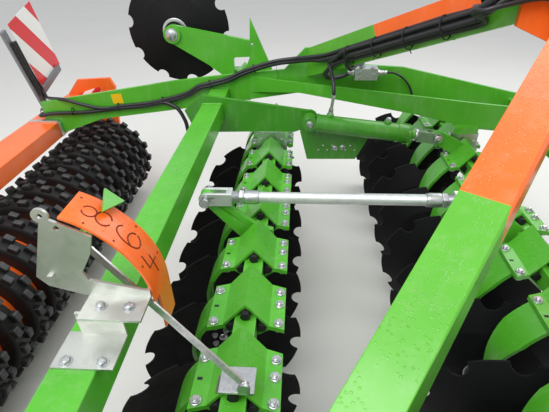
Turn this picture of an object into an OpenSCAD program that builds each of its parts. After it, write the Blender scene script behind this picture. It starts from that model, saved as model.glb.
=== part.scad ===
// Compact disc harrow for a three-point linkage: two rows of notched discs on
// swivelling beams, depth set by hydraulic cylinders, rubber ring roller behind.
// Lengths in millimetres. +X is the driving direction, +Y the left side, +Z up.

/* [Rows] */
// Distance between the two row axes
row_gap = 990; // [975:5:1010]
// Height of the row axes above the ground
beam_z = 700; // [690:5:720]
// Distance between neighbouring discs of a row
disc_pitch = 250; // [246:1:252]
// Width across flats of the square row beam
beam_w = 64; // [58:1:65]
// Wall of the row beam
beam_wall = 8; // [5:1:14]
// Half diagonal of the room inside a clamp
clamp_in = 66; // [66:1:70]
// Sheet thickness of a clamp
clamp_t = 8; // [6:1:10]
// Half width across the clamp flanges
clamp_half = 114; // [108:1:120]
// Length of a clamp along the beam
clamp_len = 200; // [190:2:204]
// Length by which the flanges stop short of the roof
clamp_cut = 32; // [20:1:40]
// Depth of the V at a clamp's near edge
clamp_vee = 26; // [10:1:34]
// Distance of the clamp bolts from the flange ends
bolt_in = 22; // [18:1:24]
// Radius of the rubber cords in the clamps
cord_r = 13.8; // [11:0.1:14]
// Distance of a cord's ends inside the clamp's ends
cord_in = 8; // [6:1:16]
// Length of the row beam beyond its last clamp
beam_over = 18; // [10:1:30]
// Radius of the beam's bearing collars
collar_r = 56; // [50:1:60]
// Width of a bearing collar
collar_w = 40; // [34:1:44]
// Radial thickness of a bearing shell
shell_t = 26; // [20:1:28]

/* [Discs] */
// Diameter of a disc
disc_d = 610; // [580:5:620]
// Sheet thickness of a disc
disc_t = 6; // [5:0.5:8]
// Depth of the dish
disc_dish = 70; // [50:1:76]
// Radius of the flat middle of a disc
disc_flat = 80; // [76:1:95]
// Number of notches around a disc
notch_n = 10; // [8:1:12]
// Radius of a notch
notch_r = 36; // [28:1:42]
// Working angle of the discs to the driving direction
disc_yaw = 17; // [14:0.5:18]
// Distance of a disc hub behind its row axis
hub_back = 165; // [155:1:180]
// Radius of a disc hub housing
hub_r = 48; // [44:1:54]
// Length of a disc hub housing
hub_len = 60; // [56:1:66]
// Radius of a disc's hub flange
flange_r = 58; // [50:1:70]
// Radius of a disc's spindle
spindle_r = 20; // [16:1:24]
// Distance from an arm's middle to the back face of its disc
disc_off = 62; // [56:1:70]
// Sheet thickness of a disc arm
arm_t = 14; // [10:1:18]
// Width of a disc arm at its foot
arm_w = 48; // [40:1:52]
// Width of a disc arm at its clamp
arm_top_w = 120; // [100:2:124]
// Bulge of a disc arm's bow
arm_bulge = 60; // [50:1:70]
// Length of a hub cap
cap_len = 22; // [15:1:30]
// Radius of a hub cap
cap_r = 36; // [30:1:42]

/* [Frame] */
// Distance of the side members' middle planes from the middle
member_y = 1000; // [992:1:1008]
// Thickness of the side member plates
member_t = 20; // [14:1:26]
// Thickness of the inner plates
inner_t = 14; // [10:1:18]
// Distance of the cylinder plates' middle planes from the middle
plate_y = 750; // [746:1:754]
// Thickness of the cylinder plates
plate_t = 20; // [14:1:26]
// Side of the rear cross tube
cross_w = 100; // [90:1:106]
// Height of the rear cross tube's middle
cross_z = 897; // [890:1:905]
// Distance of the rear cross tube's middle behind the rear row axis
cross_back = 300; // [294:1:308]
// Wall of the frame tubes
tube_wall = 8; // [5:1:12]
// Width of the front cross tube
front_w = 120; // [100:1:126]
// Height of the front cross tube
front_h = 100; // [90:1:106]
// Width of a strut
strut_w = 80; // [70:1:90]
// Height of a strut
strut_h = 140; // [120:1:150]
// Distance of the mast plates' outer faces from the middle
mast_y = 130; // [120:1:140]
// Thickness of the mast plates
mast_t = 20; // [15:1:25]
// Diameter of the lower linkage pins
pin_d = 28; // [22:1:36]
// Distance of the lower linkage cheeks' middle planes from the middle
lower_y = 400; // [380:1:420]
// Free length of a lower linkage pin
pin_len = 100; // [80:1:120]
// Diameter of the top linkage bores
top_bore_d = 25.4; // [19:0.1:31]

/* [Roller] */
// Outer diameter of the rubber rings
roller_d = 600; // [580:5:610]
// Distance from the rear row axis back to the roller axis
roller_back = 1250; // [1240:5:1270]
// Number of rubber rings
ring_n = 20; // [16:1:20]
// Distance between neighbouring rings
ring_pitch = 147; // [140:1:148]
// Width of a rubber ring
ring_w = 86; // [70:1:96]
// Number of block lugs around a ring
lug_n = 12; // [10:1:14]
// Height of a block lug
lug_h = 22; // [14:1:26]
// Diameter of the roller drum
drum_d = 400; // [360:5:420]
// Diameter of the roller axle
axle_d = 60; // [50:1:70]
// Width of the tube that carries the roller
carrier_w = 190; // [180:1:200]
// Height of the tube that carries the roller
carrier_h = 92; // [86:1:98]
// Gap between the roller and the tube that carries it
carrier_gap = 55; // [45:1:70]
// Half length of the tube that carries the roller
carrier_y = 1468; // [1462:1:1474]
// Thickness of the roller's side arms
side_t = 25; // [18:1:28]

/* [Cylinder] */
// Diameter of the cylinder barrel
barrel_d = 90; // [84:1:94]
// Length of the barrel from its pin to its mouth
barrel_len = 500; // [480:1:515]
// Diameter of the piston rod
rod_d = 45; // [36:1:50]
// Distance of the cylinders from the middle
cyl_y = 690; // [688:1:692]
// Diameter of the cylinder pins
cyl_pin_d = 30; // [25:1:34]
// Thickness of the cylinder levers
lever_t = 20; // [16:1:22]
// Radial play of a rod fork on its pin
eye_play = 1.6; // [1.4:0.1:2.2]
// Thickness of a rod fork's cheek
fork_t = 16; // [12:1:18]

/* [Linkage] */
// Diameter of the turnbuckle tube
link_d = 42; // [36:1:46]
// Diameter of the turnbuckle pins
link_pin_d = 25; // [20:1:28]
// Height of the turnbuckle pins above the row axes
link_up = 160; // [150:1:170]
// Distance of the turnbuckle pins behind the row axes
link_back = 190; // [184:1:196]
// Thickness of the turnbuckle levers
link_lever_t = 24; // [20:1:26]

/* [Attachments] */
// Distance of the depth scale's near edge from the middle
scale_y = 650; // [640:1:660]
// Width of the depth scale's band
band_w = 95; // [80:1:100]
// Outer radius of the depth scale's band
band_r = 241; // [236:1:244]
// Sheet thickness of the depth scale and its bracket
sheet_t = 6; // [4:0.5:8]
// Radial play of the link bar on the pointer's pin
bar_play = 0.8; // [0.6:0.1:1.2]
// Distance of the folded edge disc's middle plane from the middle
edge_y = 1215; // [1210:1:1218]
// Thickness of the edge disc's arm
edge_t = 30; // [24:1:32]
// Inward lean of the warning boards
board_lean = 17; // [10:1:20]
// Width of a warning board
board_w = 282; // [240:2:300]
// Height of a warning board
board_h = 423; // [380:1:440]
// Radius of the thick hydraulic hoses
hose_r = 11; // [8:0.5:12]

/* [Hidden] */
$fn = 48;
// Running gap between turning pieces
run = 0.3;
// Overlap of pieces that are one solid
lap = 1;
green = "#5db83c";
dark_green = "#3f8f2e";
orange = "#ff7a1c";
zinc = "#b9bcbe";
black = "#1b1b1e";
disc_n = 12;
hub_down = beam_z - disc_d / 2;
clamp_out = clamp_in + clamp_t * sqrt(2);
cord_c = beam_w / 2 + 0.2 + cord_r;
shell_r = collar_r + run + shell_t;
// Linkage cheeks at the front
hitch_x = 1500;
hitch_z = 560;
hitch_r = 45;
x_front = hitch_x + hitch_r;
x_rear = -roller_back - roller_d / 2;
x_mid = (x_front + x_rear) / 2;
carrier_x = -1385;
carrier_z = roller_d + carrier_gap + carrier_h / 2;
carrier_top = carrier_z + carrier_h / 2;
cord_len = clamp_len - 2 * cord_in;
front_x = 1340;
front_z = 840;
pin_rear = [198, 870];
pin_fork = [row_gap - 154, beam_z + 95];
cyl_dx = pin_fork[0] - pin_rear[0];
cyl_dz = pin_fork[1] - pin_rear[1];
cyl_len = sqrt(cyl_dx * cyl_dx + cyl_dz * cyl_dz);
cyl_tilt = atan2(-cyl_dz, cyl_dx);
top_x = 1030;
top_z = 1530;

function row_y(i) = (i - (disc_n - 1) / 2) * disc_pitch;

// Prism along Y with an outline in X and Z
module slab(y0, y1) {
    translate([0, y1, 0]) rotate([90, 0, 0]) linear_extrude(y1 - y0) children();
}
// Round bar along Y
module bar(x, z, r, y0, y1) {
    translate([x, y1, z]) rotate([90, 0, 0]) cylinder(r = r, h = y1 - y0);
}
// Square tube along Y
module tube_y(w, h, wall, y0, y1) {
    translate([-w / 2, y0, -h / 2]) difference() {
        cube([w, y1 - y0, h]);
        translate([wall, -1, wall]) cube([w - 2 * wall, y1 - y0 + 2, h - 2 * wall]);
    }
}
module place() { translate([-x_mid, 0, 0]) children(); }
module both() { children(); mirror([0, 1, 0]) children(); }

// Row pieces, around the row axis
module half_outline(s) {
    g = 0.3;
    scale([1, 1]) polygon([[-clamp_half, s * g], [-clamp_half, s * clamp_t],
        [-(clamp_out - clamp_t), s * clamp_t], [0, s * clamp_out],
        [clamp_out - clamp_t, s * clamp_t], [clamp_half, s * clamp_t], [clamp_half, s * g],
        [clamp_in - g, s * g], [0, s * clamp_in], [-(clamp_in - g), s * g]]);
}
module clamp_plan() {
    h = clamp_half + 1;
    l = clamp_len / 2;
    translate([0, 0, -clamp_out - 1]) linear_extrude(2 * clamp_out + 2)
        polygon([[-h, -l], [-12, -l + clamp_vee], [12, -l + clamp_vee], [h, -l],
            [h, l - clamp_cut], [12, l], [-12, l], [-h, l - clamp_cut]]);
}
module clamp_pair() {
    intersection() {
        union() {
            slab(-clamp_len / 2 - 1, clamp_len / 2 + 1) half_outline(1);
            slab(-clamp_len / 2 - 1, clamp_len / 2 + 1) half_outline(-1);
        }
        clamp_plan();
    }
}
arm_a = [-90, -2];
arm_b = [-hub_back, -hub_down + hub_r - 10];
arm_chord = [arm_b[0] - arm_a[0], arm_b[1] - arm_a[1]];
arm_l = sqrt(arm_chord[0] * arm_chord[0] + arm_chord[1] * arm_chord[1]);
arm_r = (arm_l * arm_l / 4 + arm_bulge * arm_bulge) / (2 * arm_bulge);
arm_c = [(arm_a[0] + arm_b[0]) / 2 - arm_chord[1] / arm_l * (arm_r - arm_bulge),
    (arm_a[1] + arm_b[1]) / 2 + arm_chord[0] / arm_l * (arm_r - arm_bulge)];
module arm_band() {
    far = 1.3;
    intersection() {
        slab(-arm_top_w / 2, arm_top_w / 2) difference() {
            translate(arm_c) circle(r = arm_r + arm_t / 2, $fn = 96);
            translate(arm_c) circle(r = arm_r - arm_t / 2, $fn = 96);
        }
        slab(-arm_top_w, arm_top_w) polygon([arm_c, arm_c + far * (arm_a - arm_c),
            arm_c + [-2 * arm_r, 0], arm_c + far * (arm_b - arm_c)]);
        translate([-600, 0, 0]) rotate([90, 0, 90]) linear_extrude(1200)
            polygon([[-arm_top_w / 2, -0.3], [-arm_top_w / 2, -90], [-arm_w / 2, -270],
                [-arm_w / 2, -500], [arm_w / 2, -500], [arm_w / 2, -270],
                [arm_top_w / 2, -90], [arm_top_w / 2, -0.3]]);
    }
}
// Local frame of a disc's axis at its hub
module hub_frame() {
    translate([-hub_back, 0, -hub_down]) rotate([0, 0, -disc_yaw]) rotate([-90, 0, 0]) children();
}
module element() {
    difference() {
        union() { clamp_pair(); arm_band(); }
        slab(-clamp_len, clamp_len) polygon([[0, clamp_in], [clamp_in, 0], [0, -clamp_in],
            [-clamp_in, 0]]);
        hub_frame() translate([0, 0, -hub_len]) cylinder(r = spindle_r + run, h = 2 * hub_len);
    }
    hub_frame() difference() {
        translate([0, 0, -hub_len / 2]) cylinder(r = hub_r, h = hub_len);
        translate([0, 0, -hub_len / 2 - 1]) cylinder(r = spindle_r + run, h = hub_len + 2);
    }
}
module cords() {
    for (a = [0:90:270]) rotate([0, a, 0]) bar(0, cord_c, cord_r, -cord_len / 2, cord_len / 2);
}
module disc_rotor() {
    r = disc_d / 2;
    mid = 190;
    dz = disc_dish * 0.32;
    translate([0, 0, disc_off]) difference() {
        rotate_extrude() polygon([[0, 0], [disc_flat, 0], [mid, dz], [r, disc_dish],
            [r, disc_dish + disc_t], [mid, dz + disc_t], [disc_flat, disc_t], [0, disc_t]]);
        for (k = [0:notch_n - 1]) rotate([0, 0, k * 360 / notch_n + 9])
            translate([r, 0, -1]) cylinder(r = notch_r, h = disc_dish + disc_t + 2);
    }
    translate([0, 0, hub_len / 2 + run])
        cylinder(r = flange_r, h = disc_off - hub_len / 2 - run + lap);
    translate([0, 0, -hub_len / 2 + 6]) cylinder(r = spindle_r, h = hub_len - 6 + run + lap);
}
module rotor_front(i) {
    color(black) place() translate([row_gap, row_y(i), beam_z]) hub_frame() disc_rotor();
}
module rotor_rear(i) {
    color(black) place() translate([0, row_y(i), beam_z]) mirror([0, 1, 0])
        hub_frame() disc_rotor();
}
beam_end = row_y(disc_n - 1) + clamp_len / 2 + beam_over;
// Middle planes of the row bearings: on the cylinder plate and under the right member
bearing_y = [plate_y, -member_y];
link_arm = sqrt(link_back * link_back + link_up * link_up);
// Half width of a turnbuckle lever at its eye, across the lever
lever_n = [25 * link_up / link_arm, 25 * link_back / link_arm];
rear_end = row_y(disc_n - 2) + clamp_len / 2 + beam_over;
// Square beam with round collars and the lever of the turnbuckle
module beam(y0, y1) {
    difference() {
        union() {
            translate([-beam_w / 2, y0, -beam_w / 2]) cube([beam_w, y1 - y0, beam_w]);
            for (y = bearing_y) bar(0, 0, collar_r, y - collar_w / 2, y + collar_w / 2);
            slab(-link_lever_t / 2, link_lever_t / 2) {
                polygon([[-link_back - lever_n[0], link_up - lever_n[1]],
                    [-link_back + lever_n[0], link_up + lever_n[1]],
                    [0, beam_w / 2 + 2], [beam_w / 2 + 22, beam_w / 2 - 14],
                    [beam_w / 2 + 22, -beam_w / 2 - 22],
                    [-beam_w / 2 - 10, -beam_w / 2 - 22]]);
                translate([-link_back, link_up]) circle(r = 25);
            }
        }
        translate([-beam_w / 2 + beam_wall, y0 - 1, -beam_w / 2 + beam_wall])
            cube([beam_w - 2 * beam_wall, y1 - y0 + 2, beam_w - 2 * beam_wall]);
        bar(-link_back, link_up, link_pin_d / 2 + 0.15, -100, 100);
    }
}
module front_row() { place() translate([row_gap, 0, beam_z]) children(); }
module rear_row() { place() translate([0, 0, beam_z]) children(); }

module front_beam() { color(green) front_row() beam(-beam_end, beam_end); }
module rear_beam() { color(green) rear_row() beam(-beam_end, rear_end); }
module front_clamps() {
    color(green) front_row() {
        for (i = [0:disc_n - 1]) translate([0, row_y(i), 0]) element();
        difference() {
            slab(cyl_y - lever_t / 2, cyl_y + lever_t / 2) difference() {
                union() {
                    polygon([[-10, 62], [-64, 8], [-170, 68], [-132, 124]]);
                    translate([pin_fork[0] - row_gap, pin_fork[1] - beam_z]) circle(r = 31);
                }
                translate([pin_fork[0] - row_gap, pin_fork[1] - beam_z])
                    circle(r = cyl_pin_d / 2 + 0.15);
            }
            slab(cyl_y - clamp_len, cyl_y + clamp_len) polygon([[0, clamp_in + 3],
                [clamp_in + 3, 0], [0, -clamp_in - 3], [-clamp_in - 3, 0]]);
        }
    }
}
module rear_clamps() {
    color(green) rear_row() for (i = [0:disc_n - 2]) translate([0, row_y(i), 0])
        rear_element();
}
module rear_element() {
    difference() {
        union() { clamp_pair(); mirror([0, 1, 0]) arm_band(); }
        slab(-clamp_len, clamp_len) polygon([[0, clamp_in], [clamp_in, 0], [0, -clamp_in],
            [-clamp_in, 0]]);
        mirror([0, 1, 0]) hub_frame() translate([0, 0, -hub_len])
            cylinder(r = spindle_r + run, h = 2 * hub_len);
    }
    mirror([0, 1, 0]) hub_frame() difference() {
        translate([0, 0, -hub_len / 2]) cylinder(r = hub_r, h = hub_len);
        translate([0, 0, -hub_len / 2 - 1]) cylinder(r = spindle_r + run, h = hub_len + 2);
    }
}
module front_cords() {
    color(black) front_row() for (i = [0:disc_n - 1]) translate([0, row_y(i), 0]) cords();
}
module rear_cords() {
    color(black) rear_row() for (i = [0:disc_n - 2]) translate([0, row_y(i), 0]) cords();
}
module bolt_heads(y) {
    l = clamp_len / 2;
    translate([0, y, 0]) {
        for (d = [-l + bolt_in, l - clamp_cut - bolt_in]) for (s = [-1, 1])
            translate([s * (clamp_half - 17), d, clamp_t]) {
                cylinder(r = 13, h = 9, $fn = 6);
                // The arm takes the far bolt of its own flange
                if (s > 0 || d < 0) translate([0, 0, -2 * clamp_t - 9])
                    cylinder(r = 13, h = 9, $fn = 6);
            }
        translate([clamp_half - 17, -5, clamp_t]) cylinder(r = 13, h = 9, $fn = 6);
    }
}
module hub_cap() {
    hub_frame() translate([0, 0, -hub_len / 2 - cap_len]) cylinder(r = cap_r, h = cap_len);
}
module front_bolts() {
    color(zinc) front_row() {
        for (i = [0:disc_n - 1]) {
            bolt_heads(row_y(i));
            translate([0, row_y(i), 0]) hub_cap();
        }
        bar(pin_fork[0] - row_gap, pin_fork[1] - beam_z, cyl_pin_d / 2,
            cyl_y - lever_t / 2 - run - fork_t - 6, cyl_y + lever_t / 2 + run + fork_t + 6);
        bar(-link_back, link_up, link_pin_d / 2, -48, 48);
    }
}
module rear_bolts() {
    color(zinc) rear_row() {
        for (i = [0:disc_n - 2]) {
            bolt_heads(row_y(i));
            translate([0, row_y(i), 0]) mirror([0, 1, 0]) hub_cap();
        }
        bar(-link_back, link_up, link_pin_d / 2, -48, 48);
        link_saddle();
    }
}

// Frame
// Seats of the bearing shells
seat_z = beam_z + shell_r + 14;
module side_members() {
    color(green) place() for (s = [1, -1]) mirror([0, s > 0 ? 0 : 1, 0]) {
        slab(member_y - member_t / 2, member_y + member_t / 2) {
            // Lugs over the row bearings of the right side
            if (s < 0) for (lug = [[0, 930, 895], [row_gap, 830, 845]])
                polygon([[lug[0] - 70, seat_z], [lug[0] + 70, seat_z],
                    [lug[0] + 110, lug[1]], [lug[0] - 110, lug[2]]]);
            polygon([[carrier_x + 12, carrier_z + 160], [-544, 988], [-194, 1027], [60, 1048], [170, 1160], [300, 1160],
                [420, 1075], [692, 1059], [1290, 925], [1410, 900], [1410, 780],
                [1100, seat_z + 3], [729, 843], [146, 922], [-569, 820], [-1026, carrier_z + 60],
                [carrier_x + carrier_w / 2, carrier_z - 32],
                [carrier_x + carrier_w / 2, carrier_top], [carrier_x + 12, carrier_top]]);
        }
    }
}
module inner_plates() { color(green) place() inner_plate(); }
// Slanting plate from the side member in to the front bearing, on its foot
module inner_plate() {
    x0 = -60;
    x1 = front_x - front_w / 2;
    y0 = member_y - member_t / 2;
    slope = 0.2;
    t = inner_t / cos(atan(slope));
    intersection() {
        linear_extrude(1200) polygon([[x0, y0], [x1, y0 - slope * (x1 - x0)],
            [x1, y0 - slope * (x1 - x0) - t], [x0 - t / slope, y0]]);
        slab(500, 1100) polygon([[-200, 1022], [40, 1000], [1010, 946], [1400, 930],
            [1400, 806], [1040, 812], [740, 866], [146, 938], [-200, 922]]);
    }
    translate([row_gap - 60, plate_y - 22, beam_z + shell_r + 14])
        cube([120, 52, 32]);
}
module cylinder_plates() {
    color(dark_green) place() {
        difference() {
            slab(plate_y - plate_t / 2, plate_y + plate_t / 2) difference() {
                union() {
                    polygon([[-346, 990], [-447, 909], [-400, 790], [-80, beam_z + shell_r + 14],
                        [123, beam_z + shell_r + 14], [pin_rear[0] + 20, pin_rear[1] - 38],
                        [pin_rear[0] + 6, pin_rear[1] + 40]]);
                    translate(pin_rear) circle(r = 42);
                    polygon([[230, 850], [150, 800], [190, 638], [448, 641], [520, 790]]);
                }
                translate([-cross_back - cross_w / 2, cross_z - cross_w / 2])
                    square([cross_w, cross_w]);
                for (k = [0:8]) translate([250 + 24 * k, 690 + (k % 2) * 26]) circle(r = 6);
            }
        }
        bar(pin_rear[0], pin_rear[1], 30, cyl_y + lever_t / 2 + fork_t, plate_y);
        bar(pin_rear[0], pin_rear[1], cyl_pin_d / 2, cyl_y - lever_t / 2 - fork_t - 8,
            plate_y + plate_t / 2 + 14);
    }
}
module cross_tubes() {
    ym = member_y - member_t / 2;
    color(green) place() {
        translate([-cross_back, 0, cross_z]) tube_y(cross_w, cross_w, tube_wall, -ym, ym);
        translate([front_x, 0, front_z]) tube_y(front_w, front_h, tube_wall, -ym, ym);
    }
}
strut_plan = 53.9;
strut_rise = 21.4;
module struts() {
    y0 = mast_y;
    y1 = member_y - member_t / 2;
    color(orange) place() both() intersection() {
        translate(strut_foot) rotate([0, 0, -strut_plan]) rotate([0, -strut_rise, 0])
            translate([-0.4 * member_y, -strut_w / 2, -strut_h / 2]) difference() {
                cube([2 * member_y, strut_w, strut_h]);
                translate([-1, tube_wall, tube_wall])
                    cube([2 * member_y + 2, strut_w - 2 * tube_wall, strut_h - 2 * tube_wall]);
            }
        translate([x_rear, y0, 0]) cube([x_front - x_rear, y1 - y0, 3 * beam_z]);
    }
}
module mast() {
    color(orange) place() both() slab(mast_y - mast_t, mast_y) difference() {
        polygon([[800, 1418], [800, 1620], [1000, 1620], [1090, 1500], [1480, 900],
            [hitch_x + 20, 620], [hitch_x + 20, 520], [1380, 520], [1230, 700],
            [1200, 900], [1010, 1330]]);
        translate([front_x - front_w / 2, front_z - front_h / 2]) square([front_w, front_h]);
        translate([top_x, top_z]) circle(d = top_bore_d);
    }
}
// Lower cross bar in three lengths between the mast plates, with its cheeks
bar_x = 1400;
bar_w = 80;
cheek_t = 20;
module lower_hitch() {
    color(green) place() {
        translate([bar_x, 0, hitch_z]) {
            tube_y(bar_w, bar_w, tube_wall, -mast_y + mast_t, mast_y - mast_t);
            both() tube_y(bar_w, bar_w, tube_wall, mast_y, lower_y + cheek_t / 2);
        }
        both() slab(lower_y - cheek_t / 2, lower_y + cheek_t / 2) difference() {
            union() {
                polygon([[bar_x - 45, hitch_z - 45], [bar_x - 45, hitch_z + 45],
                    [hitch_x, hitch_z + 45], [hitch_x, hitch_z - 45]]);
                translate([hitch_x, hitch_z]) circle(r = hitch_r);
            }
            translate([hitch_x, hitch_z]) circle(r = pin_d / 2 + 4 + 0.2);
            translate([bar_x - bar_w / 2 + tube_wall, hitch_z - bar_w / 2 + tube_wall])
                square(bar_w - 2 * tube_wall);
        }
    }
}
module hitch_pins() {
    y = lower_y + cheek_t / 2;
    color(zinc) place() {
        both() {
            bar(hitch_x, hitch_z, pin_d / 2 + 10, y - cheek_t - 8, y - cheek_t - 0.3);
            bar(hitch_x, hitch_z, pin_d / 2 + 4, y - cheek_t - 1, y + 2);
            bar(hitch_x, hitch_z, pin_d / 2, y + 1, y + 2 + pin_len);
        }
        // Holder and couplers of the hydraulic hoses
        translate([coupler_x, coupler_y - hose_r - 6, coupler_z[1] - 20])
            cube([10, mast_y - mast_t - coupler_y + hose_r + 5.7, 70]);
        for (z = coupler_z) translate([coupler_x + 9, coupler_y, z]) rotate([0, 90, 0])
            cylinder(r = hose_r + 2, h = 55);
    }
}
module bearing_shells() {
    color(zinc) place() for (x = [0, row_gap], y = bearing_y) translate([x, y, beam_z]) {
        slab(-15, 15) difference() {
            union() {
                circle(r = shell_r);
                translate([-70, 40]) square([140, shell_r + 14 - 40]);
            }
            circle(r = collar_r + run);
        }
    }
}
module roller_carrier() {
    color(orange) place() {
        translate([carrier_x, 0, carrier_z])
            tube_y(carrier_w, carrier_h, tube_wall, -carrier_y, carrier_y);
        both() slab(carrier_y, carrier_y + side_t) difference() {
            union() {
                polygon([[carrier_x - carrier_w / 2, carrier_top - 9],
                    [carrier_x - carrier_w / 2 + 100, carrier_top + 102],
                    [-roller_back + 98, carrier_top + 114], [-roller_back + 128, carrier_top + 48],
                    [-roller_back + 112, carrier_top + 12],
                    [-roller_back + 75, roller_d / 2], [-roller_back - 75, roller_d / 2],
                    [carrier_x - carrier_w / 2, carrier_z - carrier_h / 2]]);
                translate([-roller_back, roller_d / 2]) circle(r = 75);
            }
            translate([-roller_back, roller_d / 2]) circle(r = axle_d / 2 + run);
        }
    }
}
module roller_drum() {
    l = (ring_n - 1) * ring_pitch / 2 + ring_w / 2;
    color(orange) place() {
        slab(-l, l) translate([-roller_back, roller_d / 2]) difference() {
            circle(r = drum_d / 2, $fn = 96);
            circle(r = drum_d / 2 - 10, $fn = 96);
        }
        both() slab(l - 40, l - 25) translate([-roller_back, roller_d / 2]) difference() {
            circle(r = drum_d / 2 - 5);
            for (a = [0:60:300]) rotate(a) translate([drum_d * 0.31, 0]) circle(r = 34);
        }
        bar(-roller_back, roller_d / 2, axle_d / 2, -carrier_y - side_t + 2,
            carrier_y + side_t - 2);
    }
}
// Ring outline with its block lugs, each lug a quarter step wide at its crest
module ring_outline() {
    step = 360 / lug_n;
    polygon([for (k = [0:lug_n - 1], c = [[-0.29, 0], [-0.22, 1], [0.22, 1], [0.29, 0]])
        let (r = roller_d / 2 - lug_h * (1 - c[1]), a = (k + c[0]) * step - 90)
            [r * cos(a), r * sin(a)]]);
}
module roller_rings() {
    color(black) place() for (k = [0:ring_n - 1]) {
        y = (k - (ring_n - 1) / 2) * ring_pitch;
        translate([0, y, 0]) slab(-ring_w / 2, ring_w / 2) translate([-roller_back, roller_d / 2])
            difference() {
                ring_outline();
                circle(r = drum_d / 2 + 0.2);
            }
    }
}
// Hydraulic cylinders, drawn along +X from the rear pin
module cyl_frame(s) {
    place() translate([pin_rear[0], s * cyl_y, pin_rear[1]]) rotate([0, cyl_tilt, 0]) children();
}
module barrel() {
    w = lever_t / 2 + fork_t - run;
    difference() {
        union() {
            slab(-w, w) circle(r = 40);
            translate([30, 0, 0]) rotate([0, 90, 0]) cylinder(d = barrel_d, h = barrel_len - 30);
        }
        bar(0, 0, cyl_pin_d / 2 + run, -60, 60);
        translate([120, 0, 0]) rotate([0, 90, 0])
            cylinder(d = rod_d + 2 * run, h = barrel_len - 119);
    }
}
module rod() {
    w = lever_t / 2 + run;
    o = w + fork_t;
    translate([150, 0, 0]) rotate([0, 90, 0]) cylinder(d = rod_d, h = cyl_len - 150 - 60);
    difference() {
        union() {
            translate([cyl_len - 100, -o, -27]) cube([100, 2 * o, 54]);
            translate([cyl_len, 0, 0]) slab(-o, o) circle(r = 27);
        }
        translate([cyl_len - 52, -w, -60]) cube([120, 2 * w, 120]);
        translate([cyl_len, 0, 0]) bar(0, 0, cyl_pin_d / 2 + eye_play, -60, 60);
    }
}
module barrel_left() { color(green) cyl_frame(1) barrel(); }
module rod_left() { color(zinc) cyl_frame(1) rod(); }

// Turnbuckle between the two rows
module link_rod() {
    w = link_lever_t / 2 + run;
    o = w + 14;
    color(zinc) place() translate([-link_back, 0, beam_z + link_up]) {
        translate([85, 0, 0]) rotate([0, 90, 0]) cylinder(d = link_d, h = row_gap - 170);
        for (s = [0, 1]) translate([s * row_gap, 0, 0]) mirror([s, 0, 0]) difference() {
            union() {
                translate([0, -o, -26]) cube([96, 2 * o, 52]);
                slab(-o, o) circle(r = 26);
            }
            translate([-60, -w, -60]) cube([134, 2 * w, 120]);
            bar(0, 0, link_pin_d / 2 + run, -60, 60);
        }
    }
}

// Depth scale on the rear cross tube, read off a pointer that the rear row turns
band_c = [-cross_back - 100, cross_z + 103];
point_c = band_c + [30, 71];
point_a = 48;
point_arm = 70;
bar_end = [31, beam_z + 99];
bar_y = [-scale_y + 56, -plate_y + 38];
bar_a = [point_c[0] + point_arm * cos(point_a), point_c[1] + point_arm * sin(point_a)];
bar_dx = bar_end[0] - bar_a[0];
bar_dz = bar_a[1] - bar_end[1];
bar_len = sqrt(bar_dx * bar_dx + bar_dz * bar_dz);
bar_tilt = atan2(bar_dz, bar_dx);
bar_skew = atan2(bar_y[0] - bar_y[1], bar_len);
band_in = band_r - sheet_t;
flange_z = band_c[1] + 18;
module depth_scale() {
    color(orange) place() {
        slab(-scale_y, -scale_y + band_w) translate(band_c) intersection() {
            difference() { circle(r = band_r, $fn = 96); circle(r = band_in, $fn = 96); }
            polygon([[0, 0], [400, 0], [400, 400], [400 * cos(69), 400 * sin(69)]]);
        }
        translate([band_c[0] + band_in, -scale_y + 24, band_c[1] - 110])
            cube([sheet_t, band_w - 24, 112]);
    }
}
module scale_bracket() {
    y0 = -scale_y - 0.3;
    ear = [56, 230];
    tube_top = cross_z + cross_w / 2;
    color(zinc) place() difference() {
        union() {
            // Plate with a window, ear and foot flange
            slab(y0 - sheet_t, y0) translate(band_c) {
                polygon([[48, 212], [70, 222], [145, 183], [132, 140], [100, 88], [108, 66],
                    [band_in - 0.3, 38], [band_in - 0.3, 18], [100, 18], [15, 46], [-5, 72]]);
                translate(ear) circle(r = 17);
            }
            translate([band_c[0] + 100, y0 - 75, flange_z]) cube([band_in - 100.3, 75, sheet_t]);
            translate([band_c[0] + band_in - 15.5, y0 - 1, flange_z]) cube([14, 50, sheet_t]);
            translate([band_c[0] + band_in - 1.5 - sheet_t, y0 + 24, flange_z - 60])
                cube([sheet_t, 25, 61]);
            // Cranked foot on the cross tube
            translate([-cross_back - 15, y0 - 56, tube_top + 0.3])
                cube([100, sheet_t, flange_z - tube_top - 0.2]);
            translate([-cross_back - 45, y0 - 140, tube_top + 0.3]) cube([130, 90, sheet_t]);
            translate([point_c[0], y0 - sheet_t - 8, point_c[1]]) rotate([-90, 0, 0])
                cylinder(r = 11, h = 8, $fn = 6);
            translate([point_c[0], y0 - 1, point_c[1]]) rotate([-90, 0, 0])
                cylinder(r = 6, h = band_w + 20);
        }
        slab(y0 - 20, y0 + 20) translate(band_c) {
            translate(ear) circle(r = 6);
            translate([80, 202]) circle(r = 6);
        }
    }
}
// Frame of the pointer: +X from its pivot out to its tip
module point_frame() {
    place() translate([point_c[0], 0, point_c[1]]) rotate([0, -point_a, 0]) children();
}
module depth_pointer() {
    y0 = -scale_y + band_w + 6;
    tip = 188;
    color(green) point_frame() difference() {
        union() {
            slab(y0, y0 + sheet_t) {
                polygon([[0, -14], [0, 14], [tip, 8], [tip, -8]]);
                circle(r = 14);
            }
            translate([tip - 6, 0, 0]) rotate([90, 0, 90]) linear_extrude(sheet_t)
                polygon([[y0 + sheet_t, -24], [y0 + sheet_t, 24], [y0 - 58, 0]]);
            bar(point_arm, 0, 5, bar_y[0] - 6, y0 + 1);
        }
        bar(0, 0, 6 + run, y0 - 40, y0 + 40);
    }
}
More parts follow.
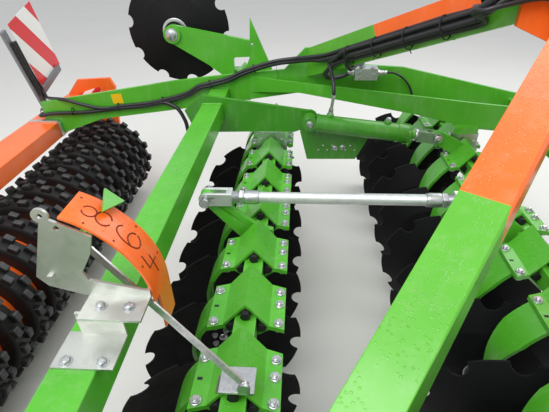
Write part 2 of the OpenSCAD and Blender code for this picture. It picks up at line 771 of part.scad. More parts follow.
// Flat bar from the pointer down to the rear row
module pointer_link() {
    color(zinc) place() translate([bar_a[0], bar_y[0], bar_a[1]]) rotate([0, bar_tilt, 0])
        difference() {
            union() {
                rotate([0, 0, -bar_skew]) translate([0, -2.5, -9])
                    cube([bar_len / cos(bar_skew), 5, 18]);
                slab(-4, 4) circle(r = 12);
                translate([bar_len, 0, 0]) slab(bar_y[1] - bar_y[0] - 4, bar_y[1] - bar_y[0] + 4)
                    circle(r = 11);
            }
            bar(0, 0, 5 + bar_play, -20, 20);
            bar(bar_len, 0, 6 + run, bar_y[1] - bar_y[0] - 20, bar_y[1] - bar_y[0] + 20);
        }
}
// Saddle on a rear clamp's roof that carries the link bar's lower pin
module link_saddle() {
    y0 = row_y(3) - clamp_len / 2 + clamp_vee;
    r = clamp_out + 0.5;
    slab(y0, y0 + 44) polygon([[-45, r - 45], [0, r], [45, r - 45], [45, r - 36.5], [8, r + 6.5],
        [-8, r + 6.5], [-45, r - 36.5]]);
    translate([-30, bar_y[1] - 13, r + 0.5]) cube([84, y0 + 44 - bar_y[1] + 13, sheet_t]);
    slab(bar_y[1] - 13, bar_y[1] - 13 + sheet_t) {
        translate(bar_end - [0, beam_z]) circle(r = 15);
        translate([bar_end[0] - 15, r + 1]) square([30, bar_end[1] - beam_z - r - 1]);
    }
    bar(bar_end[0], bar_end[1] - beam_z, 6, bar_y[1] - 12, bar_y[1] + 8);
}
// Warning boards, in the leaning frame of their arms
module board_frame() {
    translate([carrier_x - carrier_w / 2 - 17, 1195, carrier_top]) rotate([board_lean, 0, 0])
        children();
}
module board_arms() {
    color("#6f7478") place() both() {
        translate([carrier_x - carrier_w / 2 - 17, 1150, carrier_top]) cube([77, 90, 16]);
        board_frame() {
            translate([0, -20, 9]) cube([20, 40, 95 + board_h - 9]);
            translate([0, -20, 72]) cube([20, 86 + board_w - 20, 40]);
        }
    }
}
module warning_boards() {
    color("#d8dadc") place() both() board_frame() translate([-3.3, 86, 90])
        cube([3, board_w, board_h]);
}
module carrier_straps() {
    xl = carrier_x - carrier_w / 2;
    xr = carrier_x + carrier_w / 2;
    zb = carrier_z - carrier_h / 2;
    y1 = member_y - member_t / 2 - 3;
    color(zinc) place() both() slab(y1 - 26, y1) polygon([[xl + 12, carrier_top + 0.3],
        [xr + 0.3, carrier_top + 0.3], [xr + 0.3, zb + 4], [xr + 9, zb + 4],
        [xr + 9, carrier_top - 6], [xr - 6, carrier_top + 9], [xl + 12, carrier_top + 9]]);
}

// Hydraulic hoses, swept along hand-set points
function unit(v) = v / norm(v);
function spline(p, i, t) = let (n = len(p), a = p[max(i - 1, 0)], b = p[i], c = p[i + 1],
    d = p[min(i + 2, n - 1)])
    0.5 * (2 * b + (c - a) * t + (2 * a - 5 * b + 4 * c - d) * t * t
        + (3 * b - a - 3 * c + d) * t * t * t);
function along(p, m) = concat([for (i = [0:len(p) - 2], k = [0:m - 1]) spline(p, i, k / m)],
    [p[len(p) - 1]]);
hose_ref = unit([0.6, 0.5, 0.62]);
module hose(points, r, m) {
    p = along(points, m);
    n = len(p);
    q = 8;
    rings = [for (i = [0:n - 1])
        let (t = unit(p[min(i + 1, n - 1)] - p[max(i - 1, 0)]), u = unit(cross(t, hose_ref)),
            v = cross(t, u))
        for (k = [0:q - 1]) p[i] + r * (u * cos(k * 360 / q) + v * sin(k * 360 / q))];
    polyhedron(points = rings, faces = concat([[for (k = [0:q - 1]) k]],
        [for (i = [0:n - 2], k = [0:q - 1]) [i * q + k, (i + 1) * q + k,
            (i + 1) * q + (k + 1) % q, i * q + (k + 1) % q]],
        [[for (k = [q - 1:-1:0]) (n - 1) * q + k]]));
}
strut_foot = [225, member_y, 1090];
strut_dir = [cos(strut_rise) * cos(strut_plan), -cos(strut_rise) * sin(strut_plan),
    sin(strut_rise)];
strut_out = [-sin(strut_plan), -cos(strut_plan), 0];
// Point beside a strut's inner face: s along it, h above its middle
function beside(s, h) = strut_foot + s * strut_dir + (strut_w / 2 + hose_r + 5) * strut_out
    + h * cross(strut_out, strut_dir);
hose_y = member_y - member_t / 2 - 14;
coupler_x = 890;
coupler_y = 84;
coupler_z = [1596, 1564];
hose_1 = concat([[-1464, 1065, 1180], [-1464, 1120, 990], [-1462, 1165, 850],
    [-1440, 1140, 785], [-1402, 1065, 775], [-1402, 1008, 778], [-1378, 968, 788],
    [-1320, hose_y - 4, 798], [-1250, hose_y, 802], [-1100, hose_y, 808],
    [-900, hose_y, 832], [-700, hose_y, 855], [-500, hose_y, 905],
    [-420, hose_y - 2, 948], [-350, hose_y - 2, 966], [-250, hose_y - 2, 992],
    [-150, hose_y - 2, 1035], [0, 966, 1082], [115, 948, 1102], [196, 905, 1120]],
    [for (s = [150:170:1000]) beside(s, -12)],
    [[702, 160, 1500], [706, 108, 1545], [748, coupler_y, 1582],
    [820, coupler_y, coupler_z[0]], [coupler_x - 0.3, coupler_y, coupler_z[0]]]);
hose_2 = concat([[429.2, 955, 1040], [405, 955, 1039], [362, 930, 1027], [300, 885, 1034], [270, 834, 1068]],
    [for (s = [240:152:1000]) beside(s, -42)],
    [[684, 165, 1452], [690, 104, 1480], [742, coupler_y, 1532],
    [820, coupler_y, coupler_z[1]], [coupler_x - 0.3, coupler_y, coupler_z[1]]]);
module hoses() {
    color(black) place() {
        hose(hose_1, hose_r, 2);
        hose(hose_2, hose_r, 1);
    }
}
module valve_block() {
    color(zinc) place() translate([430, member_y - member_t / 2 - 70, 1010]) cube([120, 70, 60]);
}
// Folded edge disc on the left
fold_y = 1310;
fold_z = 790;
fold_x = [-290, -170];
fold_r = 24;
edge_hub = [-590, 1190];
stub_c = [-183, 987];
stub_r = 44;
module edge_bracket() {
    color(green) place() {
        translate([fold_x[0] + 30, member_y + member_t / 2, fold_z + 50]) cube([80, 230, 60]);
        translate([fold_x[0] + 40, fold_y, fold_z]) rotate([0, 90, 0])
            cylinder(r = fold_r, h = 40);
        slab(fold_y - 70, fold_y) polygon([[fold_x[0] + 40, fold_z - 10],
            [fold_x[0] + 80, fold_z - 10], [fold_x[0] + 80, fold_z + 110],
            [fold_x[0] + 40, fold_z + 110]]);
        translate([fold_x[0] - 20, fold_y, fold_z]) rotate([0, 90, 0])
            cylinder(r = fold_r / 2, h = 160);
        // Square stub and the plate that locks the folded arm
        slab(member_y + member_t / 2, edge_y + 5) translate(stub_c) difference() {
            circle(r = stub_r, $fn = 4);
            circle(r = stub_r - 11, $fn = 4);
        }
        slab(edge_y - edge_t / 2 - 17, edge_y - edge_t / 2 - 5) difference() {
            polygon([[-138, 1277], [-20, 1000], [-60, 930], [-190, 930],
                [stub_c[0], stub_c[1]], [-150, 1060]]);
            translate([-134, 1134]) circle(r = 9);
        }
    }
}
module edge_arm() {
    color(green) place() difference() {
        union() {
            for (x = [fold_x[0], fold_x[1] - 40 + run]) {
                translate([x, fold_y, fold_z]) rotate([0, 90, 0])
                    cylinder(r = fold_r, h = 40 - run);
                translate([x, fold_y - fold_r, fold_z]) cube([40 - run, fold_r, 190]);
            }
            translate([fold_x[0], edge_y + edge_t / 2, 950])
                cube([120, fold_y - edge_y - edge_t / 2, 30]);
            slab(edge_y - edge_t / 2, edge_y + edge_t / 2) {
                polygon([[fold_x[0], 935], [-246, 950], [-246, 1048], [-236, 1060], [-112, 1064],
                    [-108, 1098], [-134, 1150], [-190, 1162], [edge_hub[0] + 20, edge_hub[1] + 46],
                    [edge_hub[0] - 30, edge_hub[1] - 38], [-400, 1020]]);
            }
            translate([fold_x[0], edge_y - edge_t / 2, 935]) cube([44, edge_t + 1, 45]);
            translate([edge_hub[0], edge_y, edge_hub[1]]) rotate([-90, 0, 0])
                translate([0, 0, -hub_len / 2]) cylinder(r = hub_r, h = hub_len);
        }
        translate([fold_x[0] - 40, fold_y, fold_z]) rotate([0, 90, 0])
            cylinder(r = fold_r / 2 + run, h = 300);
        translate([edge_hub[0], edge_y, edge_hub[1]]) rotate([-90, 0, 0])
            translate([0, 0, -hub_len]) cylinder(r = spindle_r + run, h = 2 * hub_len);
        translate([-134, edge_y - edge_t, 1134]) rotate([-90, 0, 0])
            cylinder(r = 9, h = 2 * edge_t);
    }
}
module edge_disc() {
    color(black) place() translate([edge_hub[0], edge_y, edge_hub[1]]) rotate([-90, 0, 0])
        disc_rotor();
}
module front_disc_1() { rotor_front(0); }
module front_disc_2() { rotor_front(1); }
module front_disc_3() { rotor_front(2); }
module front_disc_4() { rotor_front(3); }
module front_disc_5() { rotor_front(4); }
module front_disc_6() { rotor_front(5); }
module front_disc_7() { rotor_front(6); }
module front_disc_8() { rotor_front(7); }
module front_disc_9() { rotor_front(8); }
module front_disc_10() { rotor_front(9); }
module front_disc_11() { rotor_front(10); }
module front_disc_12() { rotor_front(11); }
module rear_disc_1() { rotor_rear(0); }
module rear_disc_2() { rotor_rear(1); }
module rear_disc_3() { rotor_rear(2); }
module rear_disc_4() { rotor_rear(3); }
module rear_disc_5() { rotor_rear(4); }
module rear_disc_6() { rotor_rear(5); }
module rear_disc_7() { rotor_rear(6); }
module rear_disc_8() { rotor_rear(7); }
module rear_disc_9() { rotor_rear(8); }
module rear_disc_10() { rotor_rear(9); }
module rear_disc_11() { rotor_rear(10); }

side_members();
inner_plates();
cylinder_plates();
cross_tubes();
struts();
mast();
lower_hitch();
roller_carrier();
bearing_shells();
depth_scale();
scale_bracket();
board_arms();
warning_boards();
valve_block();
edge_bracket();
hitch_pins();
carrier_straps();
hoses();
depth_pointer();
pointer_link();
front_beam();
front_clamps();
front_cords();
front_bolts();
rear_beam();
rear_clamps();
rear_cords();
rear_bolts();
link_rod();
barrel_left();
rod_left();
roller_drum();
roller_rings();
edge_arm();
edge_disc();
front_disc_1();
front_disc_2();
front_disc_3();
front_disc_4();
front_disc_5();
front_disc_6();
front_disc_7();
front_disc_8();
front_disc_9();
front_disc_10();
front_disc_11();
front_disc_12();
rear_disc_1();
rear_disc_2();
rear_disc_3();
rear_disc_4();
rear_disc_5();
rear_disc_6();
rear_disc_7();
rear_disc_8();
rear_disc_9();
rear_disc_10();
rear_disc_11();
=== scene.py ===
"""Looks of the compact disc harrow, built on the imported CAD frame.

Every piece is made at its place in the row frame, in metres, and rides on a body of the model.
The helper at() takes the machine's own millimetres: X forward from the rear row axis, Y to the left, Z up.
"""

import logging
import math
from dataclasses import dataclass, field
from enum import Enum

import bmesh
import bpy
from mathutils import Matrix, Vector


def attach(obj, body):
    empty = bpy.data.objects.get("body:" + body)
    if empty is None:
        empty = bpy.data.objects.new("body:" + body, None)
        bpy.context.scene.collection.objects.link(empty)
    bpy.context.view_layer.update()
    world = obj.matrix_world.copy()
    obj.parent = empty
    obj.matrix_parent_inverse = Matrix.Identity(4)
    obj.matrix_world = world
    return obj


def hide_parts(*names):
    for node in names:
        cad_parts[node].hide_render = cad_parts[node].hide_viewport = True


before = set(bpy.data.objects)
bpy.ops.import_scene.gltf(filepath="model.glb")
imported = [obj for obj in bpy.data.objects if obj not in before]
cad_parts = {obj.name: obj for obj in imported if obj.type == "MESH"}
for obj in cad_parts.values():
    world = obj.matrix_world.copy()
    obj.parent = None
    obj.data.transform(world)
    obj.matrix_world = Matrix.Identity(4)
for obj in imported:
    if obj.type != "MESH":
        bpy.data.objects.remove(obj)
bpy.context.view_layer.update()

MM = 0.001
# X of the rear row axis in the row frame, in metres
SHIFT = 0.0025
# Width and height of the photograph
IMAGE = (549, 412)
UP = Vector((0, 0, 1))
DOWN = Vector((0, 0, -1))
LEFT = Vector((0, 1, 0))
FORWARD = Vector((1, 0, 0))
log = logging.getLogger("scene")

Node = bpy.types.Node
Colour = tuple[float, float, float, float]
Triple = tuple[float, float, float]
Profile = list[tuple[float, float]]
Places = Matrix | list[Matrix]


def at(x: float, y: float, z: float) -> Vector:
    """Gives a point of the machine as a point of the row frame.

    Args:
        x, y, z: the point in machine millimetres.

    Returns:
        The same point in metres.
    """
    return Vector((x * MM + SHIFT, y * MM, z * MM))


def facing(point: Vector, axis: Vector, turn: float = 0.0) -> Matrix:
    """Gives the place of a shape whose own Z axis points along axis.

    Args:
        point: where the shape's origin goes.
        axis: where its Z axis points.
        turn: turn about that axis, in degrees.

    Returns:
        The matrix that places the shape.
    """
    spin = Matrix.Rotation(math.radians(turn), 4, "Z")
    return Matrix.Translation(point) @ axis.to_track_quat("Z", "Y").to_matrix().to_4x4() @ spin


def around(place: Matrix, count: int, radius: float, start: float = 0.0) -> list[Matrix]:
    """Gives evenly spaced places on a circle about the Z axis of a place."""
    turns = (Matrix.Rotation(2 * math.pi * k / count + start, 4, "Z") for k in range(count))
    return [place @ turn @ Matrix.Translation((radius, 0, 0)) for turn in turns]


class StrutLine:
    """Line of the left strut, in machine millimetres and degrees. The right strut mirrors it."""

    foot = Vector((225.0, 1000.0, 1090.0))
    plan = math.radians(53.9)
    rise = math.radians(21.4)
    width = 80.0

    @classmethod
    def axes(cls) -> tuple[Vector, Vector, Vector]:
        """Gives the strut's directions.

        Returns:
            Three of them: along the strut, in from its inner face, and up.
        """
        flat = math.cos(cls.rise)
        along = Vector((flat * math.cos(cls.plan), -flat * math.sin(cls.plan), math.sin(cls.rise)))
        inward = Vector((-math.sin(cls.plan), -math.cos(cls.plan), 0))
        return along, inward, inward.cross(along)


# ---------------------------------------------------------------- materials


def srgb(code: str) -> Colour:
    """Turns an sRGB hex colour into the linear colour that a node takes."""
    parts = [int(code[i : i + 2], 16) / 255 for i in (1, 3, 5)]
    return (*(c / 12.92 if c <= 0.04045 else ((c + 0.055) / 1.055) ** 2.4 for c in parts), 1.0)


class Web:
    """The nodes of one material, with its shader and its object coordinates in metres."""

    # The inputs of a colour mix between its share and its two colours
    gap = (None,) * 5

    def __init__(self, name: str) -> None:
        """Makes the material with its first nodes.

        Args:
            name: the name of the material.
        """
        self.material = bpy.data.materials.new(name)
        self.material.use_nodes = True
        self.tree = self.material.node_tree
        self.tree.nodes.clear()
        self.coords = self.add("TexCoord").outputs["Object"]
        self.shader = self.add("BsdfPrincipled")
        self.add("OutputMaterial", self.shader)

    def add(self, kind: str, *inputs: object, **values: object) -> Node:
        """Adds a node.

        Args:
            kind: Blender's name of the node's type, after ShaderNode.
            inputs: what feeds its inputs, in their order, as for plug().
            values: its other inputs and its fields, as for plug().

        Returns:
            The new node.
        """
        node = self.tree.nodes.new("ShaderNode" + kind)
        self.plug(node, *inputs, **values)
        return node

    def plug(self, node: Node, *inputs: object, **values: object) -> None:
        """Sets a node's inputs and fields.

        Args:
            node: the node.
            inputs: for each input in turn, its value, the node or socket that feeds it, or None.
            values: the same by name: an input's name has a capital, a field's name has none.
        """
        for key, value in (*enumerate(inputs), *values.items()):
            if isinstance(value, Node):
                value = next(socket for socket in value.outputs if socket.enabled)
            if isinstance(key, str) and key[0].islower():
                setattr(node, key, value)
                continue
            socket = node.inputs[key.replace("_", " ") if isinstance(key, str) else key]
            if isinstance(value, bpy.types.NodeSocket):
                self.tree.links.new(value, socket)
            elif value is not None:
                socket.default_value = value


@dataclass(frozen=True)
class Finish:
    """A finish of the machine: a name, a slot of the record and a procedural material."""

    name: str
    slot: str

    def material(self) -> bpy.types.Material:
        """Gives the material.

        Returns:
            The one of this name, made on its first use.
        """
        found = bpy.data.materials.get(self.name)
        if found:
            return found
        web = Web(self.name)
        self.nodes(web)
        return web.material

    def nodes(self, web: Web) -> None:
        """Adds the finish's own nodes to its material."""
        raise NotImplementedError


@dataclass(frozen=True)
class Paint(Finish):
    """Sprayed machine paint, wet with drizzle on the faces that look up."""

    colour: str = "#4fae2c"
    shade: str = "#3f9422"
    roughness: float = 0.33
    wet: float = 1.0
    # Noise value from which drops lie on the paint
    rain: float = 0.46

    def tint(self, web: Web) -> list[Node | Colour]:
        """Gives the full and the shaded paint."""
        return [srgb(self.colour), srgb(self.shade)]

    def nodes(self, web: Web) -> None:
        """Adds the tone, the dust, the orange peel and the rain.

        Args:
            web: the nodes of its material.
        """
        full, shade = self.tint(web)
        # Slow drift of the tone over a panel, about 150 mm across
        drift = web.add("TexNoise", web.coords, Scale=6.5, Detail=3.0, Roughness=0.55)
        weight = web.add("MapRange", drift, 0.35, 0.75, 0.0, 0.55)
        body = web.add("Mix", weight, *web.gap, full, shade, data_type="RGBA")
        # Dried run marks and dust, 26 mm wide and drawn out downwards
        stretched = web.add("Mapping", web.coords, Scale=(38.0, 38.0, 9.0))
        runs = web.add("TexNoise", stretched, Scale=1.0, Detail=5.0, Roughness=0.65)
        dust = web.add("MapRange", runs, 0.5, 0.82, 0.0, 0.13)
        tone = web.add("Mix", dust, *web.gap, body, srgb("#c9c6b4"), data_type="RGBA")
        # Orange peel of the spray, 3 mm
        peel = web.add("TexNoise", web.coords, Scale=300.0, Detail=2.0)
        skin = web.add("Bump", Strength=0.12, Distance=0.0004, Height=peel)
        # Drops of rain, 4 to 8 mm, in patches of 70 mm on the faces that look up
        cells = web.add("TexVoronoi", web.coords, Scale=125.0, Randomness=1.0)
        drops = web.add("MapRange", cells, 0.12, 0.34, 1.0, 0.0, interpolation_type="SMOOTHSTEP")
        patch = web.add("TexNoise", web.coords, Scale=14.0, Detail=2.0)
        where = web.add("MapRange", patch, self.rain, self.rain + 0.14, 0.0, self.wet)
        split = web.add("SeparateXYZ", web.add("NewGeometry").outputs["True Normal"])
        top = web.add("MapRange", split.outputs["Z"], 0.15, 0.6)
        wetness = web.add("Math", where, top, operation="MULTIPLY")
        height = web.add("Math", wetness, drops, operation="MULTIPLY")
        beads = web.add("Bump", Strength=0.55, Distance=0.0016, Height=height, Normal=skin)
        gloss = web.add("MapRange", height, 0.0, 1.0, self.roughness, 0.08)
        web.plug(web.shader, Base_Color=tone, Roughness=gloss, Normal=beads, Coat_Weight=0.3, Coat_Roughness=0.12)


@dataclass(frozen=True)
class StrutPaint(Paint):
    """The struts' green paint, with an orange film from a cut across the tube up to the mast."""

    film: str = "#ff6d14"
    film_shade: str = "#ee5a0c"
    # Where the film starts along the right and the left strut, in metres from the foot
    cuts: tuple[float, float] = (0.433, 0.5)
    # Height of the film's lower edge on the outer and the inner face, from the middle line
    hems: tuple[float, float] = (-0.056, 0.004)
    # Radius of the film's corners, and half the width of its soft rim
    corner: float = 0.018
    rim: float = 0.0008

    def tint(self, web: Web) -> list[Node | Colour]:
        """Gives the paint, with the film over it where that covers it.

        Args:
            web: the nodes of its material.

        Returns:
            The full and the shaded paint.
        """
        # Both struts share one rule: the right one is the left one mirrored in Y
        split = web.add("SeparateXYZ", web.coords)
        side = web.add("Math", split.outputs["Y"], operation="ABSOLUTE")
        folded = web.add("CombineXYZ", split.outputs["X"], side, split.outputs["Z"])
        arm = web.add("VectorMath", folded, at(*StrutLine.foot), operation="SUBTRACT")
        reach, depth, height = (
            web.add("VectorMath", arm, axis, operation="DOT_PRODUCT") for axis in StrutLine.axes()
        )
        gaps = []
        for value, switch, (low, high) in ((reach, split.outputs["Y"], self.cuts), (height, depth, self.hems)):
            limit = web.add("MapRange", switch, -MM, MM, low + self.corner, high + self.corner)
            gap = web.add("Math", limit, value, operation="SUBTRACT")
            gaps.append(web.add("Math", gap, 0.0, operation="MAXIMUM"))
        spot = web.add("CombineXYZ", gaps[0], gaps[1])
        miss = web.add("VectorMath", spot, operation="LENGTH")
        cover = web.add("MapRange", miss, self.corner - self.rim, self.corner + self.rim, 1.0, 0.0)
        return [
            web.add("Mix", cover, *web.gap, srgb(low), srgb(high), data_type="RGBA")
            for low, high in ((self.colour, self.film), (self.shade, self.film_shade))
        ]


@dataclass(frozen=True)
class Metal(Finish):
    """Bare or plated metal with a cloudy roughness and faint cells in its tone."""

    colour: str = "#c3c6c8"
    shade: str = "#8f9498"
    roughness: float = 0.36
    spread: float = 0.16
    # Size of the plating's crystals, in metres
    cell: float = 0.007
    grain: float = 0.08

    def nodes(self, web: Web) -> None:
        """Adds the crystals, the cloudy gloss and the grain.

        Args:
            web: the nodes of its material.
        """
        # Crystals, under clouds of 45 mm in the tone and the gloss
        cells = web.add("TexVoronoi", web.coords, Scale=1 / self.cell)
        grey = web.add("SeparateColor", cells.outputs["Color"])
        cloud = web.add("TexNoise", web.coords, Scale=22.0, Detail=6.0, Roughness=0.6)
        blend = web.add("Math", grey, cloud, operation="MULTIPLY")
        tone = web.add("Mix", blend, *web.gap, srgb(self.colour), srgb(self.shade), data_type="RGBA")
        gloss = web.add("MapRange", cloud, 0.3, 0.75, self.roughness, self.roughness + self.spread)
        # Grain of the surface, drawn 2.4 mm coarse so that it shows
        fine = web.add("TexNoise", web.coords, Scale=420.0, Detail=2.0)
        bump = web.add("Bump", self.grain, 0.0003, Height=fine)
        web.plug(web.shader, Base_Color=tone, Roughness=gloss, Metallic=1.0, Normal=bump)


@dataclass(frozen=True)
class DiscSteel(Finish):
    """Dark varnished disc steel, with rolling marks and the first bloom of rust."""

    colour: str = "#08080a"
    rust: str = "#191210"

    def nodes(self, web: Web) -> None:
        """Adds the rust, the gloss and the rolling marks.

        Args:
            web: the nodes of its material.
        """
        # Bloom of rust, in clouds of 110 mm
        cloud = web.add("TexNoise", web.coords, Scale=9.0, Detail=8.0, Roughness=0.68)
        spots = web.add("MapRange", cloud, 0.56, 0.8, 0.0, 0.5)
        tone = web.add("Mix", spots, *web.gap, srgb(self.colour), srgb(self.rust), data_type="RGBA")
        gloss = web.add("MapRange", cloud, 0.3, 0.7, 0.5, 0.72)
        # Rolling marks, about 1 mm apart
        scratch = web.add("Mapping", web.coords, Scale=(60.0, 900.0, 60.0))
        lines = web.add("TexNoise", scratch, Scale=1.0, Detail=3.0)
        bump = web.add("Bump", 0.08, 0.0004, Height=lines)
        web.plug(web.shader, Base_Color=tone, Roughness=gloss, Specular_IOR_Level=0.25, Normal=bump)


@dataclass(frozen=True)
class Rubber(Finish):
    """Black rubber, greyer where it is scuffed."""

    colour: str = "#121214"
    # Grey of the scuffs; on the ring rubber also the painted wet sheen of the lug tops
    scuff_and_sheen_grey: str = "#3c3b3b"
    roughness: float = 0.62
    share: float = 0.35

    def scuff_and_sheen_share(self, web: Web) -> Node:
        """Gives how scuffed each point is, from 0 to 1."""
        # Scuffs of 33 mm
        cloud = web.add("TexNoise", web.coords, Scale=30.0, Detail=7.0, Roughness=0.7)
        return web.add("MapRange", cloud, 0.45, 0.8, 0.0, self.share)

    def nodes(self, web: Web) -> None:
        """Adds the scuffed tone, which on the ring rubber also holds the painted sheen of the lug tops, and the grain.

        Args:
            web: the nodes of its material.
        """
        tone = web.add("Mix", self.scuff_and_sheen_share(web), *web.gap, srgb(self.colour), srgb(self.scuff_and_sheen_grey), data_type="RGBA")
        # Moulded grain, drawn 2 mm coarse so that it shows
        grain = web.add("TexNoise", web.coords, Scale=500.0, Detail=3.0)
        bump = web.add("Bump", 0.25, 0.0005, Height=grain)
        web.plug(web.shader, Base_Color=tone, Roughness=self.roughness, Normal=bump)


@dataclass(frozen=True)
class TyreRubber(Rubber):
    """Ring rubber: the lug tops are grey, partly from wear and partly as a painted wet sheen; the flanks stay black."""

    axle: Triple = (-1.2475, 0.0, 0.3)
    # Radii between which a lug turns from black to grey
    inner: float = 0.288
    outer: float = 0.2965

    def scuff_and_sheen_share(self, web: Web) -> Node:
        """Gives the grey of the lugs' tops: partly wear, partly a painted wet sheen.

        Args:
            web: the nodes of its material.

        Returns:
            A node from 0 for black to 1 for grey.
        """
        arm = web.add("VectorMath", web.coords, self.axle, operation="SUBTRACT")
        flat = web.add("VectorMath", arm, (1.0, 0.0, 1.0), operation="MULTIPLY")
        radius = web.add("VectorMath", flat, operation="LENGTH")
        # The outermost skin of each lug turns grey: wear, with a painted wet sheen on it
        top = web.add("MapRange", radius, self.inner, self.outer)
        # Patches of 38 mm in the grey of the tops, in the wear and the painted sheen alike
        cloud = web.add("TexNoise", web.coords, Scale=26.0, Detail=6.0, Roughness=0.7)
        patch = web.add("MapRange", cloud, 0.3, 0.6, 0.25, 1.0)
        return web.add("Math", top, patch, operation="MULTIPLY")


@dataclass(frozen=True)
class Hose(Finish):
    """Hydraulic hose: black cover with a fine cloth print, wet and slightly shiny."""

    colour: str = "#1c1c1f"
    shade: str = "#2d2d31"
    roughness: float = 0.42

    def nodes(self, web: Web) -> None:
        """Adds the tone and the print of the cloth.

        Args:
            web: the nodes of its material.
        """
        # Grey clouds of 29 mm
        cloud = web.add("TexNoise", web.coords, Scale=35.0, Detail=5.0)
        tone = web.add("Mix", cloud, *web.gap, srgb(self.colour), srgb(self.shade), data_type="RGBA")
        # Slanting wrap marks of the cloth, just under 6 mm apart
        wrap = web.add("TexWave", web.coords, Scale=64.0, Distortion=1.5, bands_direction="DIAGONAL")
        bump = web.add("Bump", 0.2, 0.0004, Height=wrap.outputs["Fac"])
        web.plug(web.shader, Base_Color=tone, Roughness=self.roughness, Normal=bump)


@dataclass(frozen=True)
class StripedSheet(Finish):
    """Retroreflective sheet with slanting red stripes on white, mirrored on the other side."""

    stripe: str = "#e0282f"
    ground: str = "#f1f1ee"
    # Direction across the stripes, with both sides of the machine alike
    slant: Triple = (0.0, 1.0, 1.0)
    pitch: float = 0.2
    lift: float = 0.0

    def nodes(self, web: Web) -> None:
        """Adds the stripes and the honeycomb.

        Args:
            web: the nodes of its material.
        """
        folded = web.add("VectorMath", web.coords, operation="ABSOLUTE")
        slant = tuple(c / self.pitch for c in self.slant)
        across = web.add("VectorMath", folded, slant, operation="DOT_PRODUCT")
        moved = web.add("Math", across, self.lift, operation="ADD")
        share = web.add("Math", moved, operation="FRACT")
        mask = web.add("Math", share, 0.5, operation="GREATER_THAN")
        tone = web.add("Mix", mask, *web.gap, srgb(self.ground), srgb(self.stripe), data_type="RGBA")
        # Honeycomb of the reflective film, 3 mm
        comb = web.add("TexVoronoi", web.coords, Scale=330.0, Randomness=0.2, feature="DISTANCE_TO_EDGE")
        edge = web.add("MapRange", comb.outputs["Distance"], 0.0, 0.1)
        bump = web.add("Bump", 0.12, 0.0002, Height=edge)
        web.plug(web.shader, Base_Color=tone, Roughness=0.24, Normal=bump, Coat_Weight=0.4)


@dataclass(frozen=True)
class Sheet(Finish):
    """Plain printed or moulded sheet with a faint mottle."""

    colour: str
    shade: str
    roughness: float = 0.32

    def nodes(self, web: Web) -> None:
        """Adds the mottle and a fine grain.

        Args:
            web: the nodes of its material.
        """
        # Mottle of 55 mm, and a grain of 3 mm
        cloud = web.add("TexNoise", web.coords, Scale=18.0, Detail=4.0)
        tone = web.add("Mix", cloud, *web.gap, srgb(self.colour), srgb(self.shade), data_type="RGBA")
        bump = web.add("Bump", 0.06, 0.0003, Height=web.add("TexNoise", web.coords, Scale=350.0))
        web.plug(web.shader, Base_Color=tone, Roughness=self.roughness, Normal=bump)


# Bright leaf green of the frame, as sprayed: the eye's main colour
GREEN = Paint("green machine paint", "green_paint", "#55b22b", "#459c20")
# The cylinder plates in the same green, a tone deeper
DEEP_GREEN = Paint("deep green machine paint", "dark_green_paint", "#3f9020", "#347a19", wet=0.6)
# Signal orange of the roller frame and the depth scale
ORANGE = Paint("orange machine paint", "orange_paint", "#ff701f", "#f25f12")
# Green struts that turn orange towards the mast, under denser drops
STRUT = StrutPaint("two-tone strut paint", "orange_paint", "#5cb22a", "#4b9d20", rain=0.36)
# Grey powder coat of the board arms: matt, slightly blue
GREY = Paint("grey powder coat", "grey_paint", "#74787d", "#63676c", roughness=0.45, wet=0.5)
# Zinc plate on bolts, pins and fittings: pale, cloudy, soft highlights
ZINC = Metal("zinc plate", "zinc", "#d3d5d6", "#a3a8ab", roughness=0.3)
# Passivated zinc sheet of the scale's bracket, duller, with large cells
SHEET_ZINC = Metal("passivated zinc sheet", "zinc", "#d2d4cf", "#c0c2bb", roughness=0.4, cell=0.03, grain=0.05)
# Satin zinc of the turnbuckle tube, nearly white under the sky
SATIN_ZINC = Metal("satin zinc", "zinc", "#e9ecea", "#cfd3d2", roughness=0.42, cell=0.02, grain=0.04)
# Near-black disc steel
DISC = DiscSteel("varnished disc steel", "disc_steel")
# Black cord rubber in the clamps
CORD = Rubber("cord rubber", "rubber", "#101011", "#262628", roughness=0.7)
# Ring rubber with grey lug tops, partly wear and partly a painted wet sheen
TYRE = TyreRubber("ring rubber", "tyre_rubber", "#0c0b0c", "#454446", roughness=0.56)
# Hose cover
HOSE = Hose("hose cover", "rubber")
# Red and white film of the warning boards
BOARD = StripedSheet("striped reflective film", "board_sheet", pitch=0.283, lift=0.12)
# Smaller stripes of the patch on the roller arm
PATCH = StripedSheet("striped reflective patch", "board_sheet", slant=(1.0, 0.0, 1.0), pitch=0.11, lift=0.3)
# Blank yellow sticker
YELLOW = Sheet("yellow sticker", "board_sheet", "#f2c318", "#e3b410")
# Black plastic of the cable ties, also the shade in the punched holes
PLASTIC = Sheet("black moulded plastic", "rubber", "#17171a", "#202024", roughness=0.5)
# Painted shade in the engraved lines and small holes of the scale, a dark burnt orange
SLOT_SHADE = Sheet("engraved line", "orange_paint", "#7c2c06", "#5e2206", roughness=0.7)


# ---------------------------------------------------------------- geometry


def puck(radius: float, height: float) -> Profile:
    """Gives the profile of a plain round disc."""
    return [(0, 0), (radius, 0), (radius, height), (0, height)]


